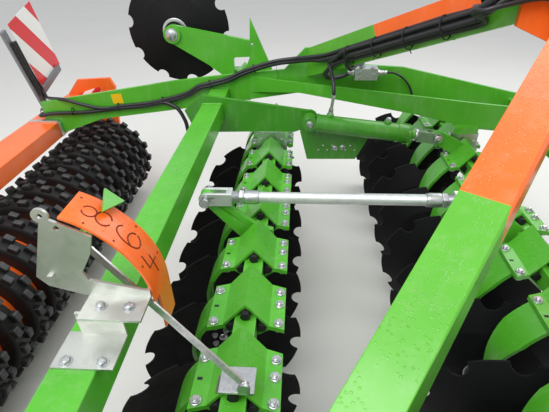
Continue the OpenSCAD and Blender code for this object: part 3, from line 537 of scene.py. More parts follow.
class Shape:
    """A mesh under construction, filled by bmesh operators and then made one piece."""

    def __init__(self) -> None:
        """Starts an empty mesh."""
        self.bm = bmesh.new()

    def take(self, part: bmesh.types.BMesh, places: Places) -> "Shape":
        """Adds copies of a finished part, and frees it.

        Args:
            part: the part.
            places: where each copy goes.

        Returns:
            The shape itself.
        """
        mesh = bpy.data.meshes.new("part")
        bmesh.ops.recalc_face_normals(part, faces=part.faces)
        part.to_mesh(mesh)
        part.free()
        for place in [places] if isinstance(places, Matrix) else places:
            copy = mesh.copy()
            copy.transform(place)
            if place.determinant() < 0:
                copy.flip_normals()
            self.bm.from_mesh(copy)
            bpy.data.meshes.remove(copy)
        bpy.data.meshes.remove(mesh)
        return self

    @staticmethod
    def round_off(part: bmesh.types.BMesh, edges: list, ease: float, steps: int = 2) -> None:
        """Rounds edges of a part."""
        bmesh.ops.bevel(part, geom=edges, offset=ease, affect="EDGES", segments=steps, profile=0.5, material=-1)

    @staticmethod
    def spin(part: bmesh.types.BMesh, geom: list, steps: int) -> None:
        """Spins a profile once about Z."""
        turn = {"cent": (0, 0, 0), "axis": (0, 0, 1), "angle": 2 * math.pi, "steps": steps}
        bmesh.ops.spin(part, geom=geom, use_merge=True, use_duplicate=False, **turn)

    def block(self, size: Triple, places: Places, ease: float = 0, taper: float = 1, steps: int = 2) -> "Shape":
        """Adds a block that stands on its origin, with eased edges.

        Args:
            size: its X, Y and Z sizes in metres.
            places: where each copy goes.
            ease: radius of its edges.
            taper: size of its top as a share of its base.
            steps: segments of the eased edges.

        Returns:
            The shape itself.
        """
        part = bmesh.new()
        bmesh.ops.create_cube(part, size=1.0, matrix=Matrix.Translation((0, 0, 0.5)))
        for v in part.verts:
            k = taper if v.co.z > 0.5 else 1.0
            v.co = Vector((v.co.x * size[0] * k, v.co.y * size[1] * k, v.co.z * size[2]))
        if ease:
            self.round_off(part, part.edges[:], ease, steps)
        return self.take(part, places)

    def turned(self, profile: Profile, places: Places, steps: int = 32) -> "Shape":
        """Adds a part turned about Z.

        Args:
            profile: its points, each a radius and a height.
            places: where each copy goes.
            steps: faces round it.

        Returns:
            The shape itself.
        """
        part = bmesh.new()
        points = [part.verts.new((r, 0, z)) for r, z in profile]
        self.spin(part, points + [part.edges.new(pair) for pair in zip(points, points[1:])], steps)
        bmesh.ops.remove_doubles(part, verts=part.verts[:], dist=1e-6)
        return self.take(part, places)

    def ring(self, radius: float, wire: float, places: Places, steps: int, sides: int) -> "Shape":
        """Adds a ring of round wire about Z.

        Args:
            radius: radius of its middle line.
            wire: radius of the wire.
            places: where each copy goes.
            steps: faces round the ring.
            sides: faces round the wire.

        Returns:
            The shape itself.
        """
        part = bmesh.new()
        upright = Matrix.Translation((radius, 0, 0)) @ Matrix.Rotation(math.pi / 2, 4, "X")
        bmesh.ops.create_circle(part, radius=wire, segments=sides, matrix=upright)
        self.spin(part, part.verts[:] + part.edges[:], steps)
        return self.take(part, places)

    def hexagon(self, radius: float, height: float, places: Places, crown: float = 0.0015) -> "Shape":
        """Adds a hexagon that stands on its origin.

        Args:
            radius: distance of its corners from Z.
            height: its height.
            places: where each copy goes.
            crown: radius of the edges of its top.

        Returns:
            The shape itself.
        """
        part = bmesh.new()
        size = {"radius1": radius, "radius2": radius, "depth": height}
        bmesh.ops.create_cone(part, cap_ends=True, segments=6, matrix=Matrix.Translation((0, 0, height / 2)), **size)
        top = [e for e in part.edges if all(v.co.z > height * 0.9 for v in e.verts)]
        self.round_off(part, top, crown)
        return self.take(part, places)

    def wire(
        self, points: list[Vector], normals: list[Vector], radius: float, sides: int = 6, ripple: float = 0.0
    ) -> "Shape":
        """Adds a thin round bead along points, smooth or rippled.

        Args:
            points: its middle line.
            normals: the direction at each point that its section is turned by.
            radius: its radius.
            sides: sides of its section.
            ripple: change of the radius along it, as a share.

        Returns:
            The shape itself.
        """
        part = bmesh.new()
        last = len(points) - 1
        rings = []
        for i, (point, normal) in enumerate(zip(points, normals)):
            side = (points[min(i + 1, last)] - points[max(i - 1, 0)]).normalized().cross(normal)
            turns = [2 * math.pi * k / sides for k in range(sides)]
            swell = radius * (1 + ripple * math.sin(1.7 * i))
            rings.append([part.verts.new(point + (normal * math.cos(t) + side * math.sin(t)) * swell) for t in turns])
        for a, b in zip(rings, rings[1:]):
            for k in range(sides):
                part.faces.new((a[k], a[k - 1], b[k - 1], b[k]))
        part.faces.new(rings[0])
        part.faces.new(rings[-1])
        return self.take(part, Matrix.Identity(4))

    def weld(self, corners: list[Vector], normal: Vector, radius: float = 0.004, stride: float = 0.003) -> "Shape":
        """Adds a closed weld bead.

        Args:
            corners: its corners, all in one plane.
            normal: direction across that plane.
            radius: its radius.
            stride: distance of its points.

        Returns:
            The shape itself.
        """
        path = []
        for a, b in zip(corners, corners[1:] + corners[:1]):
            count = max(int((b - a).length / stride), 1)
            path += [a.lerp(b, k / count) for k in range(count)]
        return self.wire(path + path[:1], [normal] * (len(path) + 1), radius, 6, 0.16)

    def piece(
        self, name: str, body: str, finish: Finish, replaced: tuple[str, ...] = (), sharp: float = 34.0
    ) -> bpy.types.Object:
        """Makes the shape one object of the scene.

        Args:
            name: the object's name.
            body: the CAD body it moves with.
            finish: its finish.
            replaced: the CAD nodes that it stands for.
            sharp: angle in degrees from which an edge stays sharp.

        Returns:
            The new object, at the origin, with its place in its mesh.
        """
        bmesh.ops.recalc_face_normals(self.bm, faces=self.bm.faces)
        mesh = bpy.data.meshes.new(name)
        self.bm.to_mesh(mesh)
        self.bm.free()
        return place_mesh(mesh, name, body, finish, replaced, sharp)


def place_mesh(
    mesh: bpy.types.Mesh, name: str, body: str, finish: Finish, replaced: tuple[str, ...], sharp: float
) -> bpy.types.Object:
    """Links a mesh as one piece of the scene.

    Args:
        mesh: the mesh.
        name: the piece's name.
        body: the CAD body it moves with.
        finish: its finish.
        replaced: the CAD nodes that it stands for.
        sharp: angle in degrees from which an edge stays sharp.

    Returns:
        The new object.
    """
    mesh.shade_smooth()
    mesh.set_sharp_from_angle(angle=math.radians(sharp))
    mesh.materials.clear()
    mesh.materials.append(finish.material())
    made = bpy.data.objects.new(name, mesh)
    bpy.context.scene.collection.objects.link(made)
    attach(made, body)
    if replaced:
        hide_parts(*replaced)
    log.info("%s on %s, %d faces", name, body, len(mesh.polygons))
    return made


def spline(points: list[Vector], steps: int) -> list[Vector]:
    """Runs a Catmull-Rom curve through points.

    Args:
        points: the points.
        steps: steps from one to the next.

    Returns:
        The points of the curve.
    """
    out = []
    last = len(points) - 1
    for i in range(last):
        a, b, c, d = points[max(i - 1, 0)], points[i], points[i + 1], points[min(i + 2, last)]
        square, cube = 2 * a - 5 * b + 4 * c - d, 3 * b - a - 3 * c + d
        for t in (k / steps for k in range(steps)):
            out.append(0.5 * (2 * b + (c - a) * t + square * t * t + cube * t**3))
    return out + [points[-1]]


def tube(
    name: str, points: list[Vector], radius: float, body: str, finish: Finish, replaced: tuple[str, ...], sides: int
) -> bpy.types.Object:
    """Sweeps a round tube along points and makes it a piece.

    Args:
        name: the piece's name.
        points: its middle line.
        radius: its radius.
        body: the CAD body it moves with.
        finish: its finish.
        replaced: the CAD nodes that it stands for.
        sides: resolution of its section.

    Returns:
        The new object.
    """
    curve = bpy.data.curves.new(name, "CURVE")
    curve.dimensions = "3D"
    curve.bevel_depth = radius
    curve.bevel_resolution = sides
    curve.use_fill_caps = True
    line = curve.splines.new("POLY")
    line.points.add(len(points) - 1)
    for spot, point in zip(line.points, points):
        spot.co = (*point, 1.0)
    source = bpy.data.objects.new(name, curve)
    mesh = bpy.data.meshes.new_from_object(source)
    bpy.data.objects.remove(source)
    bpy.data.curves.remove(curve)
    return place_mesh(mesh, name, body, finish, replaced, 60.0)


def dress(node: str, finish: Finish, ease: float = 0.0) -> None:
    """Gives a CAD node its finish and, by modifiers, eased edges.

    Args:
        node: the node's name.
        finish: its finish.
        ease: width of the eased edges in metres.
    """
    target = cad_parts[node]
    for slot in target.material_slots:
        slot.material = finish.material()
    if not target.material_slots:
        target.data.materials.append(finish.material())
    if ease:
        weld = target.modifiers.new("weld", "WELD")
        weld.merge_threshold = 1e-5
        bevel = target.modifiers.new("edges", "BEVEL")
        bevel.width = ease
        bevel.segments = 2
        bevel.limit_method = "ANGLE"
        bevel.angle_limit = math.radians(38)
        bevel.use_clamp_overlap = True
        bevel.harden_normals = False
    log.info("%s dressed in %s", node, finish.name)


class Assembly:
    """A part of the machine: it makes its own pieces and dresses its CAD nodes."""

    # Finish and width of the eased edges of each CAD node
    coats: dict[str, tuple[Finish, float]] = {}

    def build(self) -> None:
        """Makes the pieces that the CAD leaves out."""

    def dress(self) -> None:
        """Gives the assembly's CAD nodes their finishes."""
        for node, (finish, ease) in self.coats.items():
            dress(node, finish, ease)


# ---------------------------------------------------------------- the machine


# Bright flange between a hub and its disc, in metres
HUB_FLANGE: Profile = [(0.0575, 0), (0.072, 0), (0.074, 0.0015), (0.074, 0.0065), (0.071, 0.009), (0.0575, 0.0095)]
# Pressed centre of a disc, and its five nuts on their circle
DISC_CENTRE: Profile = [(0, 0), (0.018, 0), (0.0165, 0.003), (0.011, 0.0055), (0, 0.0062)]
DISC_NUTS = 5
NUT_CIRCLE = 0.041


class Side(Enum):
    """The machine's two sides."""

    LEFT = 1
    RIGHT = -1


@dataclass
class DiscRow(Assembly):
    """One row: a beam, its clamps with arms, cords, bolts and discs."""

    name: str
    x: float
    discs: int
    # Discs of the front row throw to one side, those of the rear row to the other
    hand: int
    pitch: float = 250.0
    height: float = 700.0
    clamp_length: float = 200.0
    clamp_half: float = 114.0
    clamp_sheet: float = 8.0
    clamp_cut: float = 32.0
    # Distance of a clamp bolt from the clamp's end and from its long edge
    bolt_in: float = 22.0
    bolt_edge: float = 17.0
    hub_back: float = 165.0
    hub_height: float = 305.0
    hub_length: float = 60.0
    yaw: float = 17.0
    disc_off: float = 62.0
    disc_sheet: float = 6.0

    @property
    def body(self) -> str:
        """Gives the body of the row."""
        return f"{self.name}_row"

    @property
    def coats(self) -> dict[str, tuple[Finish, float]]:
        """Lists the row's CAD nodes.

        Returns:
            The finish and the width of the eased edges of each one.
        """
        found = {"beam": (GREEN, 0.003), "clamps": (GREEN, 0.0), "cords": (CORD, 0.0), "bolts": (ZINC, 0.0)}
        found |= {f"disc_{i + 1}": (DISC, 0.0) for i in range(self.discs)}
        return {f"{self.name}_{node}": coat for node, coat in found.items()}

    def station(self, i: int) -> float:
        """Gives the Y of one element of the row."""
        return (i - 5.5) * self.pitch

    def hub(self, i: int) -> tuple[Vector, Vector]:
        """Gives the place of one hub.

        Args:
            i: number of the disc.

        Returns:
            The hub's middle and the direction of its axis.
        """
        yaw = math.radians(self.yaw)
        axis = Vector((math.sin(yaw), self.hand * math.cos(yaw), 0))
        return at(self.x - self.hub_back, self.station(i), self.hub_height), axis

    def bolts(self) -> list[tuple[Vector, bool]]:
        """Finds the clamps' bolts.

        Returns:
            The foot of each bolt's nut, and whether it has a head below.
        """
        half, reach = self.clamp_length / 2, self.clamp_half - self.bolt_edge
        top = self.height + self.clamp_sheet
        found = []
        for i in range(self.discs):
            y = self.station(i)
            for d in (-half + self.bolt_in, half - self.clamp_cut - self.bolt_in):
                found += [(at(self.x + s * reach, y + d, top), s > 0 or d < 0) for s in (-1, 1)]
            found.append((at(self.x + reach, y - 5, top), False))
        return found

    def build(self) -> None:
        """Makes the small hardware that the CAD leaves out."""
        hardware = Shape()
        spots = self.bolts()
        sheets = Vector((0, 0, 2 * self.clamp_sheet * MM))
        tops = [facing(p, UP, 7.0 * k) for k, (p, _) in enumerate(spots)]
        lows = [facing(p - sheets, DOWN) for p, below in spots if below]
        washer = [(0, 0), (0.0155, 0), (0.0155, 0.0022), (0.0149, 0.003), (0, 0.003)]
        hardware.turned(washer, tops, 24)
        hardware.turned(washer, lows, 16)
        # Threaded ends of the bolts above the nuts
        hardware.turned([(0, 0.008), (0.0082, 0.008), (0.0082, 0.0135), (0.0066, 0.0148), (0, 0.0148)], tops, 14)
        # Grip ring of each flange nut
        hardware.turned([(0.0122, 0.003), (0.0147, 0.003), (0.0141, 0.0045), (0.0122, 0.0055)], tops, 20)
        hardware.piece(f"{self.name}_row_washers", self.body, ZINC)
        self.painted_hole_shades()
        self.arm_welds()
        self.hubs()
        for i in range(self.discs):
            self.face(i)

    def painted_hole_shades(self) -> None:
        """Adds dark plates on the clamps' rear flanges, painted as the shade in their small square punch holes."""
        x, z = self.x - self.clamp_half + 15, self.height + self.clamp_sheet - 0.2
        places = [facing(at(x, self.station(i) - self.clamp_cut / 2, z), UP) for i in range(self.discs)]
        Shape().block((0.014, 0.009, 0.0005), places).piece(f"{self.name}_painted_hole_shades", self.body, PLASTIC)

    def arm_welds(self) -> None:
        """Adds the weld runs where each arm meets its clamp's lower flange."""
        x, z, stride = self.x - 97, self.height - self.clamp_sheet - 3, 5.6
        slope = Vector((-1, 0.15, -0.4))
        spots = ((self.station(i) + k * stride, 9 * k) for i in range(self.discs) for k in range(-9, 10))
        places = [facing(at(x, y, z), slope, turn) for y, turn in spots]
        bead = [(0, -0.0035), (0.0032, -0.0018), (0.0044, 0), (0.0032, 0.0018), (0, 0.0035)]
        Shape().turned(bead, places, 8).piece(f"{self.name}_arm_welds", self.body, GREEN)

    def hubs(self) -> None:
        """Adds cap rings, cap screws and grease nipples to the hub housings."""
        cap = [(0, 0), (0.026, 0), (0.029, -0.0015), (0.031, -0.004), (0.024, -0.0055), (0, -0.006)]
        nipple = [(0, 0), (0.0045, 0), (0.0045, 0.004), (0.002, 0.006), (0.0032, 0.009), (0, 0.011)]
        half = self.hub_length / 2
        fittings = Shape()
        for i in range(self.discs):
            centre, axis = self.hub(i)
            fittings.turned(cap, facing(centre - axis * (half + 22) * MM, axis), 28)
            screws = around(facing(centre - axis * half * MM, -axis), 4, 0.042, 0.4)
            fittings.hexagon(0.0055, 0.0045, screws, 0.0008)
            fittings.turned(nipple, facing(centre + UP * 0.047, UP), 10)
        fittings.piece(f"{self.name}_hub_fittings", self.body, ZINC)

    def face(self, i: int) -> None:
        """Adds five nuts, the pressed centre and the hub's flange to one disc.

        Args:
            i: number of the disc.
        """
        centre, axis = self.hub(i)
        front = facing(centre + axis * (self.disc_off + self.disc_sheet) * MM, axis)
        places = around(front, DISC_NUTS, NUT_CIRCLE)
        nuts = Shape()
        nuts.turned(puck(0.0125, 0.0018), places, 16)
        nuts.hexagon(0.0105, 0.0095, places, 0.0012)
        nuts.turned([(0, 0.009), (0.0058, 0.009), (0.0058, 0.0135), (0.0045, 0.0145), (0, 0.0145)], places, 10)
        nuts.turned(DISC_CENTRE, front, 20)
        nuts.turned(HUB_FLANGE, facing(centre + axis * 0.052, axis), 40)
        nuts.piece(f"{self.name}_disc_{i + 1}_nuts", f"{self.name}_wheel_{i + 1}", ZINC)


@dataclass
class Roller(Assembly):
    """Ring roller: drum, twenty lugged rubber rings, side arms with bearings."""

    x: float = -1250.0
    height: float = 300.0
    rings: int = 20
    pitch: float = 147.0
    width: float = 86.0
    # Lugs on each half of a ring, their size in metres and the radius of their feet
    lugs: int = 18
    lug: Triple = (0.031, 0.048, 0.0285)
    lug_foot: float = 0.270
    # Outer face of the side arms
    arm_face: float = 1493.0
    coats = {"roller_drum": (ORANGE, 0.0), "roller_carrier": (ORANGE, 0.004), "carrier_straps": (SATIN_ZINC, 0.0015)}

    def build(self) -> None:
        """Makes the rings with their staggered lugs, and the bearing covers."""
        cover = Shape()
        w = self.width / 2 * MM
        flank = [(0.2002, 1.0), (0.246, 1.0), (0.262, 0.94), (0.2715, 0.8), (0.2745, 0.4)]
        section = [(r, -w * share) for r, share in flank] + [(0.2722, 0)]
        section += [(r, w * share) for r, share in reversed(flank)]
        middles = [at(self.x, (k - (self.rings - 1) / 2) * self.pitch, self.height) for k in range(self.rings)]
        cover.turned(section, [facing(p, LEFT) for p in middles], 56)
        outward = Matrix.Rotation(math.pi / 2, 4, "Y")
        places = []
        for n, p in enumerate(middles):
            for k in range(2 * self.lugs):
                half = -1 if k % 2 else 1
                turn = Matrix.Rotation(math.pi * k / self.lugs + 0.13 * n, 4, "Z")
                shift = Matrix.Translation((self.lug_foot, 0, half * w * 0.5))
                places.append(facing(p, LEFT) @ turn @ shift @ outward @ Matrix.Rotation(-half * 0.16, 4, "X"))
        cover.block(self.lug, places, ease=0.0032, taper=0.86, steps=1)
        cover.piece("roller_ring_rubber", "roller", TYRE, ("roller_rings",), 30.0)
        metal = Shape()
        for side in Side:
            face = facing(at(self.x, side.value * self.arm_face, self.height), LEFT * side.value)
            metal.turned([(0, 0), (0.034, 0), (0.034, 0.006), (0.030, 0.009), (0, 0.010)], face, 28)
        metal.piece("roller_bearing_covers", "frame", ZINC)


@dataclass
class MainFrame(Assembly):
    """Side members, plates, cross tubes, struts, mast and hitch."""

    # Inner end of the cylinder's rear pin, and inner face of the roller's left side arm
    pin_end: float = 656.0
    arm_face: float = 1467.8
    # Corners of the rear and the front cross tube's section, and the faces that each one is welded to
    rear_tube: tuple[int, ...] = (-350, -250, 847, 947)
    front_tube: tuple[int, ...] = (1280, 1400, 790, 890)
    rear_faces: tuple[int, ...] = (740, 760, 990, -990)
    front_faces: tuple[int, ...] = (990, -990, 110, 130, -110, -130)
    coats = {
        "side_members": (GREEN, 0.0015),
        "inner_plates": (GREEN, 0.0012),
        "cylinder_plates": (DEEP_GREEN, 0.0012),
        "cross_tubes": (GREEN, 0.004),
        "struts": (STRUT, 0.004),
        "mast": (ORANGE, 0.0015),
        "lower_hitch": (GREEN, 0.002),
        "hitch_pins": (ZINC, 0.001),
        "bearing_shells": (ZINC, 0.001),
        "edge_bracket": (GREEN, 0.0012),
        "valve_block": (ZINC, 0.002),
    }

    def build(self) -> None:
        """Adds the frame's bolts, stickers and weld beads."""
        self.screws()
        self.stickers()
        self.welds()

    def screws(self) -> None:
        """Adds bearing shell screws, the member's bolt and cylinder pin plates."""
        metal = Shape()
        for x, y, dx in ((x, y, dx) for x in (0.0, 990.0) for y in (750.0, -1000.0) for dx in (-55, 55)):
            metal.hexagon(0.0095, 0.007, facing(at(x + dx, y, 796.5), UP, 10), 0.001)
            for step in (-1, 1):
                metal.hexagon(0.0085, 0.006, facing(at(x + dx, y + step * 15, 752), LEFT * step, 5), 0.001)
        # Round-head bolt with its washer through each side member
        dome = [(0, 0.003), (0.0165, 0.003), (0.0165, 0.008), (0.012, 0.012), (0.006, 0.0125), (0, 0.009)]
        for side in Side:
            inner, outer = (
                facing(at(-31, side.value * y, 977), LEFT * side.value * way) for y, way in ((990, -1), (1010, 1))
            )
            metal.turned([(0, 0), (0.027, 0), (0.027, 0.003), (0, 0.0035)], inner, 28)
            metal.turned(dome, inner, 24)
            metal.turned(puck(0.024, 0.003), outer, 24)
            metal.hexagon(0.017, 0.013, outer, 0.002)
        # Inner and outer end of the cylinder's rear pin
        head = [(0, 0), (0.018, 0), (0.018, 0.002), (0.015, 0.004), (0, 0.0045)]
        metal.turned(head, [facing(at(198, y, 870), LEFT * way) for y, way in ((774, 1), (self.pin_end, -1))], 24)
        # Two domed bolts on the cylinder plate
        for place in (facing(at(x, 740, z), -LEFT) for x, z in ((335.0, 706.0), (376.0, 710.0))):
            metal.turned(puck(0.014, 0.002), place, 24)
            metal.turned([(0.011, 0.002), (0.0105, 0.005), (0.007, 0.0075), (0, 0.0085)], place, 20)
        metal.piece("frame_screws", "frame", ZINC)

    def welds(self) -> None:
        """Adds the weld beads where the cross tubes meet the plates."""
        beads = Shape()
        for faces, (x0, x1, z0, z1) in ((self.rear_faces, self.rear_tube), (self.front_faces, self.front_tube)):
            for y in faces:
                beads.weld([at(x, y, z) for x, z in ((x0, z0), (x1, z0), (x1, z1), (x0, z1))], LEFT)
        beads.piece("frame_welds", "frame", GREEN, sharp=80.0)

    def stickers(self) -> None:
        """Adds the blank sticker and the striped strip on the inner face of the roller's left side arm."""
        yellow = Shape().block((0.062, 0.056, 0.0006), facing(at(-904, 989.8, 884), -LEFT, 4))
        yellow.piece("blank_yellow_sticker", "frame", YELLOW)
        strip = Shape().block((0.240, 0.032, 0.002), facing(at(-1344, self.arm_face, 751), -LEFT, 17.6), 0.0006)
        strip.piece("striped_strip", "frame", PATCH)


@dataclass
class EdgeDisc(Assembly):
    """Folded edge disc with its arm."""

    hub: Triple = (-590.0, 1215.0, 1190.0)
    coats = {"edge_arm": (GREEN, 0.002), "edge_disc": (DISC, 0.0)}

    def build(self) -> None:
        """Adds the hub's cover and flange and the disc's nuts."""
        hub = at(*self.hub)
        dome = [(0, 0), (0.035, 0), (0.035, 0.003), (0.029, 0.004), (0.026, 0.010), (0.016, 0.015), (0, 0.017)]
        Shape().turned(dome, facing(hub - LEFT * 0.030, -LEFT), 32).piece("edge_hub_cover", "edge", ZINC)
        plate = Shape().turned(HUB_FLANGE, facing(hub + LEFT * 0.052, LEFT), 44)
        plate.piece("edge_hub_flange", "edge_wheel", SATIN_ZINC)
        front = facing(hub + LEFT * 0.068, LEFT)
        nuts = Shape().hexagon(0.0105, 0.0095, around(front, DISC_NUTS, NUT_CIRCLE), 0.0012)
        nuts.turned(DISC_CENTRE, front, 20).piece("edge_disc_nuts", "edge_wheel", ZINC)


@dataclass
class DepthGauge(Assembly):
    """Depth scale with its engraved numbers, bracket, pointer and link bar."""

    # Middle of the band's arc in X and Z
    centre: tuple[float, float] = (-400.0, 1000.0)
    radius: float = 241.0
    near: float = -650.0
    width: float = 95.0
    coats = {
        "depth_scale": (ORANGE, 0.001),
        "scale_bracket": (SHEET_ZINC, 0.001),
        "depth_pointer": (GREEN, 0.0008),
        "pointer_link": (ZINC, 0.0008),
    }

    def build(self) -> None:
        """Engraves the numbers and adds the bracket's bolts."""
        self.numbers()
        self.holes()
        metal = Shape()
        for x, y, z in ((-262, -690, 1024), (-200, -690, 1024), (-318, -775, 953.3), (-242, -775, 953.3)):
            metal.turned(puck(0.0135, 0.002), facing(at(x, y, z), UP), 24)
            metal.hexagon(0.0105, 0.0065, facing(at(x, y, z + 1.8), UP, 14), 0.0015)
            metal.turned([(0.0075, 0.008), (0.006, 0.0095), (0, 0.0105)], facing(at(x, y, z), UP), 16)
        metal.piece("scale_bracket_bolts", "frame", ZINC)

    def on_band(self, angle: float, across: float, lift: float = 0.0) -> tuple[Vector, Vector]:
        """Gives a point on the band and the direction out of it.

        Args:
            angle: angle up the band from its level, in radians.
            across: distance from the band's middle, in metres, to the left.
            lift: height above the band, in metres.

        Returns:
            The point, and the outward direction there.
        """
        out = Vector((math.cos(angle), 0, math.sin(angle)))
        base = at(self.centre[0], self.near + self.width / 2, self.centre[1])
        return base + LEFT * across + out * (self.radius * MM + lift), out

    def numbers(self) -> None:
        """Draws three numbers on the band as stencil strokes, each an arc of an ellipse, in dark beads painted as the
        shade in the cut slots.
        """
        # By the angle of the number: middle across, middle up, half width, half height, first and last angle
        strokes = {
            55.0: ((0, 17, 15, 15, 112, 428), (0, -15, 19, 17, -68, 248)),
            36.5: ((0, 0, 20, 32, 48, 268), (1, -14, 18, 17, 12, 168), (1, -14, 18, 17, -88, -4)),
            18.0: ((-16, 14, 1, 18, 90, 270), (2, -4, 18, 1, 10, 170), (6, -8, 1, 24, 100, 260)),
        }
        lines = Shape()
        for angle, arcs in strokes.items():
            for x, up, wide, high, first, last in arcs:
                turns = [math.radians(first + (last - first) * k / 20) for k in range(21)]
                rises = [math.radians(angle) + (up + high * math.sin(t)) / self.radius for t in turns]
                spots = [self.on_band(rise, (x + wide * math.cos(t)) * MM) for rise, t in zip(rises, turns)]
                lines.wire([p for p, _ in spots], [n for _, n in spots], 0.0017)
        lines.piece("scale_numbers", "frame", SLOT_SHADE)

    def holes(self) -> None:
        """Adds the small round holes beside the numbers, as dark discs painted as the shade in them."""
        marks = ((58, -37), (36, 38), (42, -37), (22, -34), (17, 36), (66, 30))
        spots = [facing(*self.on_band(math.radians(angle), across * MM, -0.0002)) for angle, across in marks]
        dots = Shape().turned([(0, 0), (0.0028, 0), (0.0028, 0.0004), (0, 0.0005)], spots, 12)
        dots.piece("scale_hole_shades", "frame", SLOT_SHADE)


@dataclass
class Cylinder(Assembly):
    """The depth cylinder on the left, from its pin in the plate to the front row's lever."""

    foot: tuple[float, float] = (198.0, 870.0)
    fork: tuple[float, float] = (836.0, 795.0)
    y: float = 690.0
    radius: float = 0.045
    # Distance of the barrel's open end, and of its ports, from the rear pin
    mouth: float = 0.500
    ports: tuple[float, float] = (0.095, 0.384)
    coats = {"barrel_left": (DEEP_GREEN, 0.0), "rod_left": (ZINC, 0.0)}

    def build(self) -> None:
        """Adds the gland, the ports, the rod's paint and the pins' ends."""
        start, end = (at(x, self.y, z) for x, z in (self.foot, self.fork))
        axis, length = (end - start).normalized(), (end - start).length
        top = axis.cross(LEFT).normalized()
        r = self.radius
        shell = Shape()
        gland = [(r, -0.060), (r + 0.004, -0.058), (r + 0.004, -0.012), (r + 0.002, -0.009), (r + 0.004, -0.006)]
        gland += [(r + 0.004, 0), (r + 0.001, 0.004), (0.030, 0.005), (0.0235, 0.003), (0.0235, -0.002)]
        shell.turned(gland, facing(start + axis * self.mouth, axis), 40)
        collar = [(r, 0), (r + 0.0025, 0.001), (r + 0.0025, 0.009), (r, 0.010)]
        shell.turned(collar, facing(start + axis * 0.034, axis), 40)
        bosses = [facing(start + axis * s + top * (r - 0.002), top) for s in self.ports]
        shell.turned([(0, 0), (0.019, 0), (0.0175, 0.012), (0.016, 0.014), (0, 0.014)], bosses, 24)
        eye = facing(at(self.foot[0], self.y - 25.5, self.foot[1]), -LEFT)
        shell.turned([(0.0165, 0), (0.036, 0), (0.036, 0.0035), (0.034, 0.005), (0.0165, 0.005)], eye, 36)
        shell.piece("barrel_gland_and_ports", "cyl_left", DEEP_GREEN)
        # The rear port carries a pipe for the hose, the front one a plug
        fittings = Shape()
        piped, plugged = (facing(start + axis * s + top * (r + 0.012), top) for s in self.ports)
        fittings.hexagon(0.0135, 0.010, [piped, plugged], 0.0012)
        plug_head = [(0, 0.009), (0.0105, 0.009), (0.0105, 0.014), (0.006, 0.016), (0, 0.016)]
        fittings.turned(plug_head, plugged, 18)
        fittings.turned([(0, 0.009), (0.0105, 0.009), (0.0115, 0.012), (0.0115, 0.026), (0, 0.026)], piped, 18)
        fittings.turned([(0.0078, 0.024), (0.0078, 0.104), (0, 0.104)], piped, 18)
        fittings.hexagon(0.0125, 0.012, piped @ Matrix.Translation((0, 0, 0.084)), 0.0012)
        fittings.piece("barrel_fittings", "cyl_left", ZINC)
        first, last = self.mouth - 0.06, length - 0.1002
        paint = [(0.0224, first), (0.0230, first + 0.002), (0.0230, last - 0.0003), (0.0224, last)]
        Shape().turned(paint, facing(start, axis), 32).piece("rod_paint", "piston_left", GREEN)
        neck = [(0.022, 0), (0.030, 0), (0.031, 0.002), (0.031, 0.010), (0.027, 0.012)]
        root = facing(start + axis * (length - 0.112), axis)
        Shape().turned(neck, root, 32).piece("fork_neck", "piston_left", ZINC)
        head = [(0, 0), (0.021, 0), (0.021, 0.003), (0.017, 0.006), (0.006, 0.007), (0.004, 0.011), (0, 0.012)]
        heads = [facing(at(self.fork[0], self.y + way * 32.5, self.fork[1]), LEFT * way) for way in (-1, 1)]
        Shape().turned(head, heads, 28).piece("fork_pin_heads", "front_row", ZINC)


@dataclass
class Turnbuckle(Assembly):
    """Turnbuckle between the two rows."""

    height: float = 860.0
    start: float = -190.0
    end: float = 800.0
    coats = {"link_rod": (SATIN_ZINC, 0.003)}

    def build(self) -> None:
        """Adds threads, lock nuts, sleeves and the pins' heads."""
        metal = Shape()
        ridges = [(0.0218 + 0.0016 * (k % 2), 0.0015 * k) for k in range(19)]
        sleeve = [(0.021, 0.047), (0.0262, 0.048), (0.0262, 0.086), (0.0240, 0.098), (0.0212, 0.100)]
        for base, axis in ((self.start, FORWARD), (self.end, -FORWARD)):
            root = at(base, 0, self.height) + axis * 0.096
            metal.turned(ridges, facing(root, axis), 28)
            metal.hexagon(0.0295, 0.017, facing(root + axis * 0.0285, axis), 0.002)
            metal.turned(sleeve, facing(root, axis), 32)
        metal.piece("turnbuckle_nuts", "link", ZINC)
        head = [(0, 0), (0.0185, 0), (0.0185, 0.003), (0.0165, 0.0045), (0, 0.005)]
        for row, base in (("rear", self.start), ("front", self.end)):
            faces = [facing(at(base, side.value * 48, self.height), LEFT * side.value) for side in Side]
            ends = Shape().turned(head, faces, 24)
            ends.ring(0.017, 0.002, facing(at(base, -52, self.height), LEFT), 20, 8)
            ends.piece(f"turnbuckle_pin_{row}", f"{row}_row", ZINC)


class WarningBoards(Assembly):
    """Leaning warning boards on grey arms, which the CAD holds in full."""

    coats = {"board_arms": (GREY, 0.003), "warning_boards": (BOARD, 0.0)}


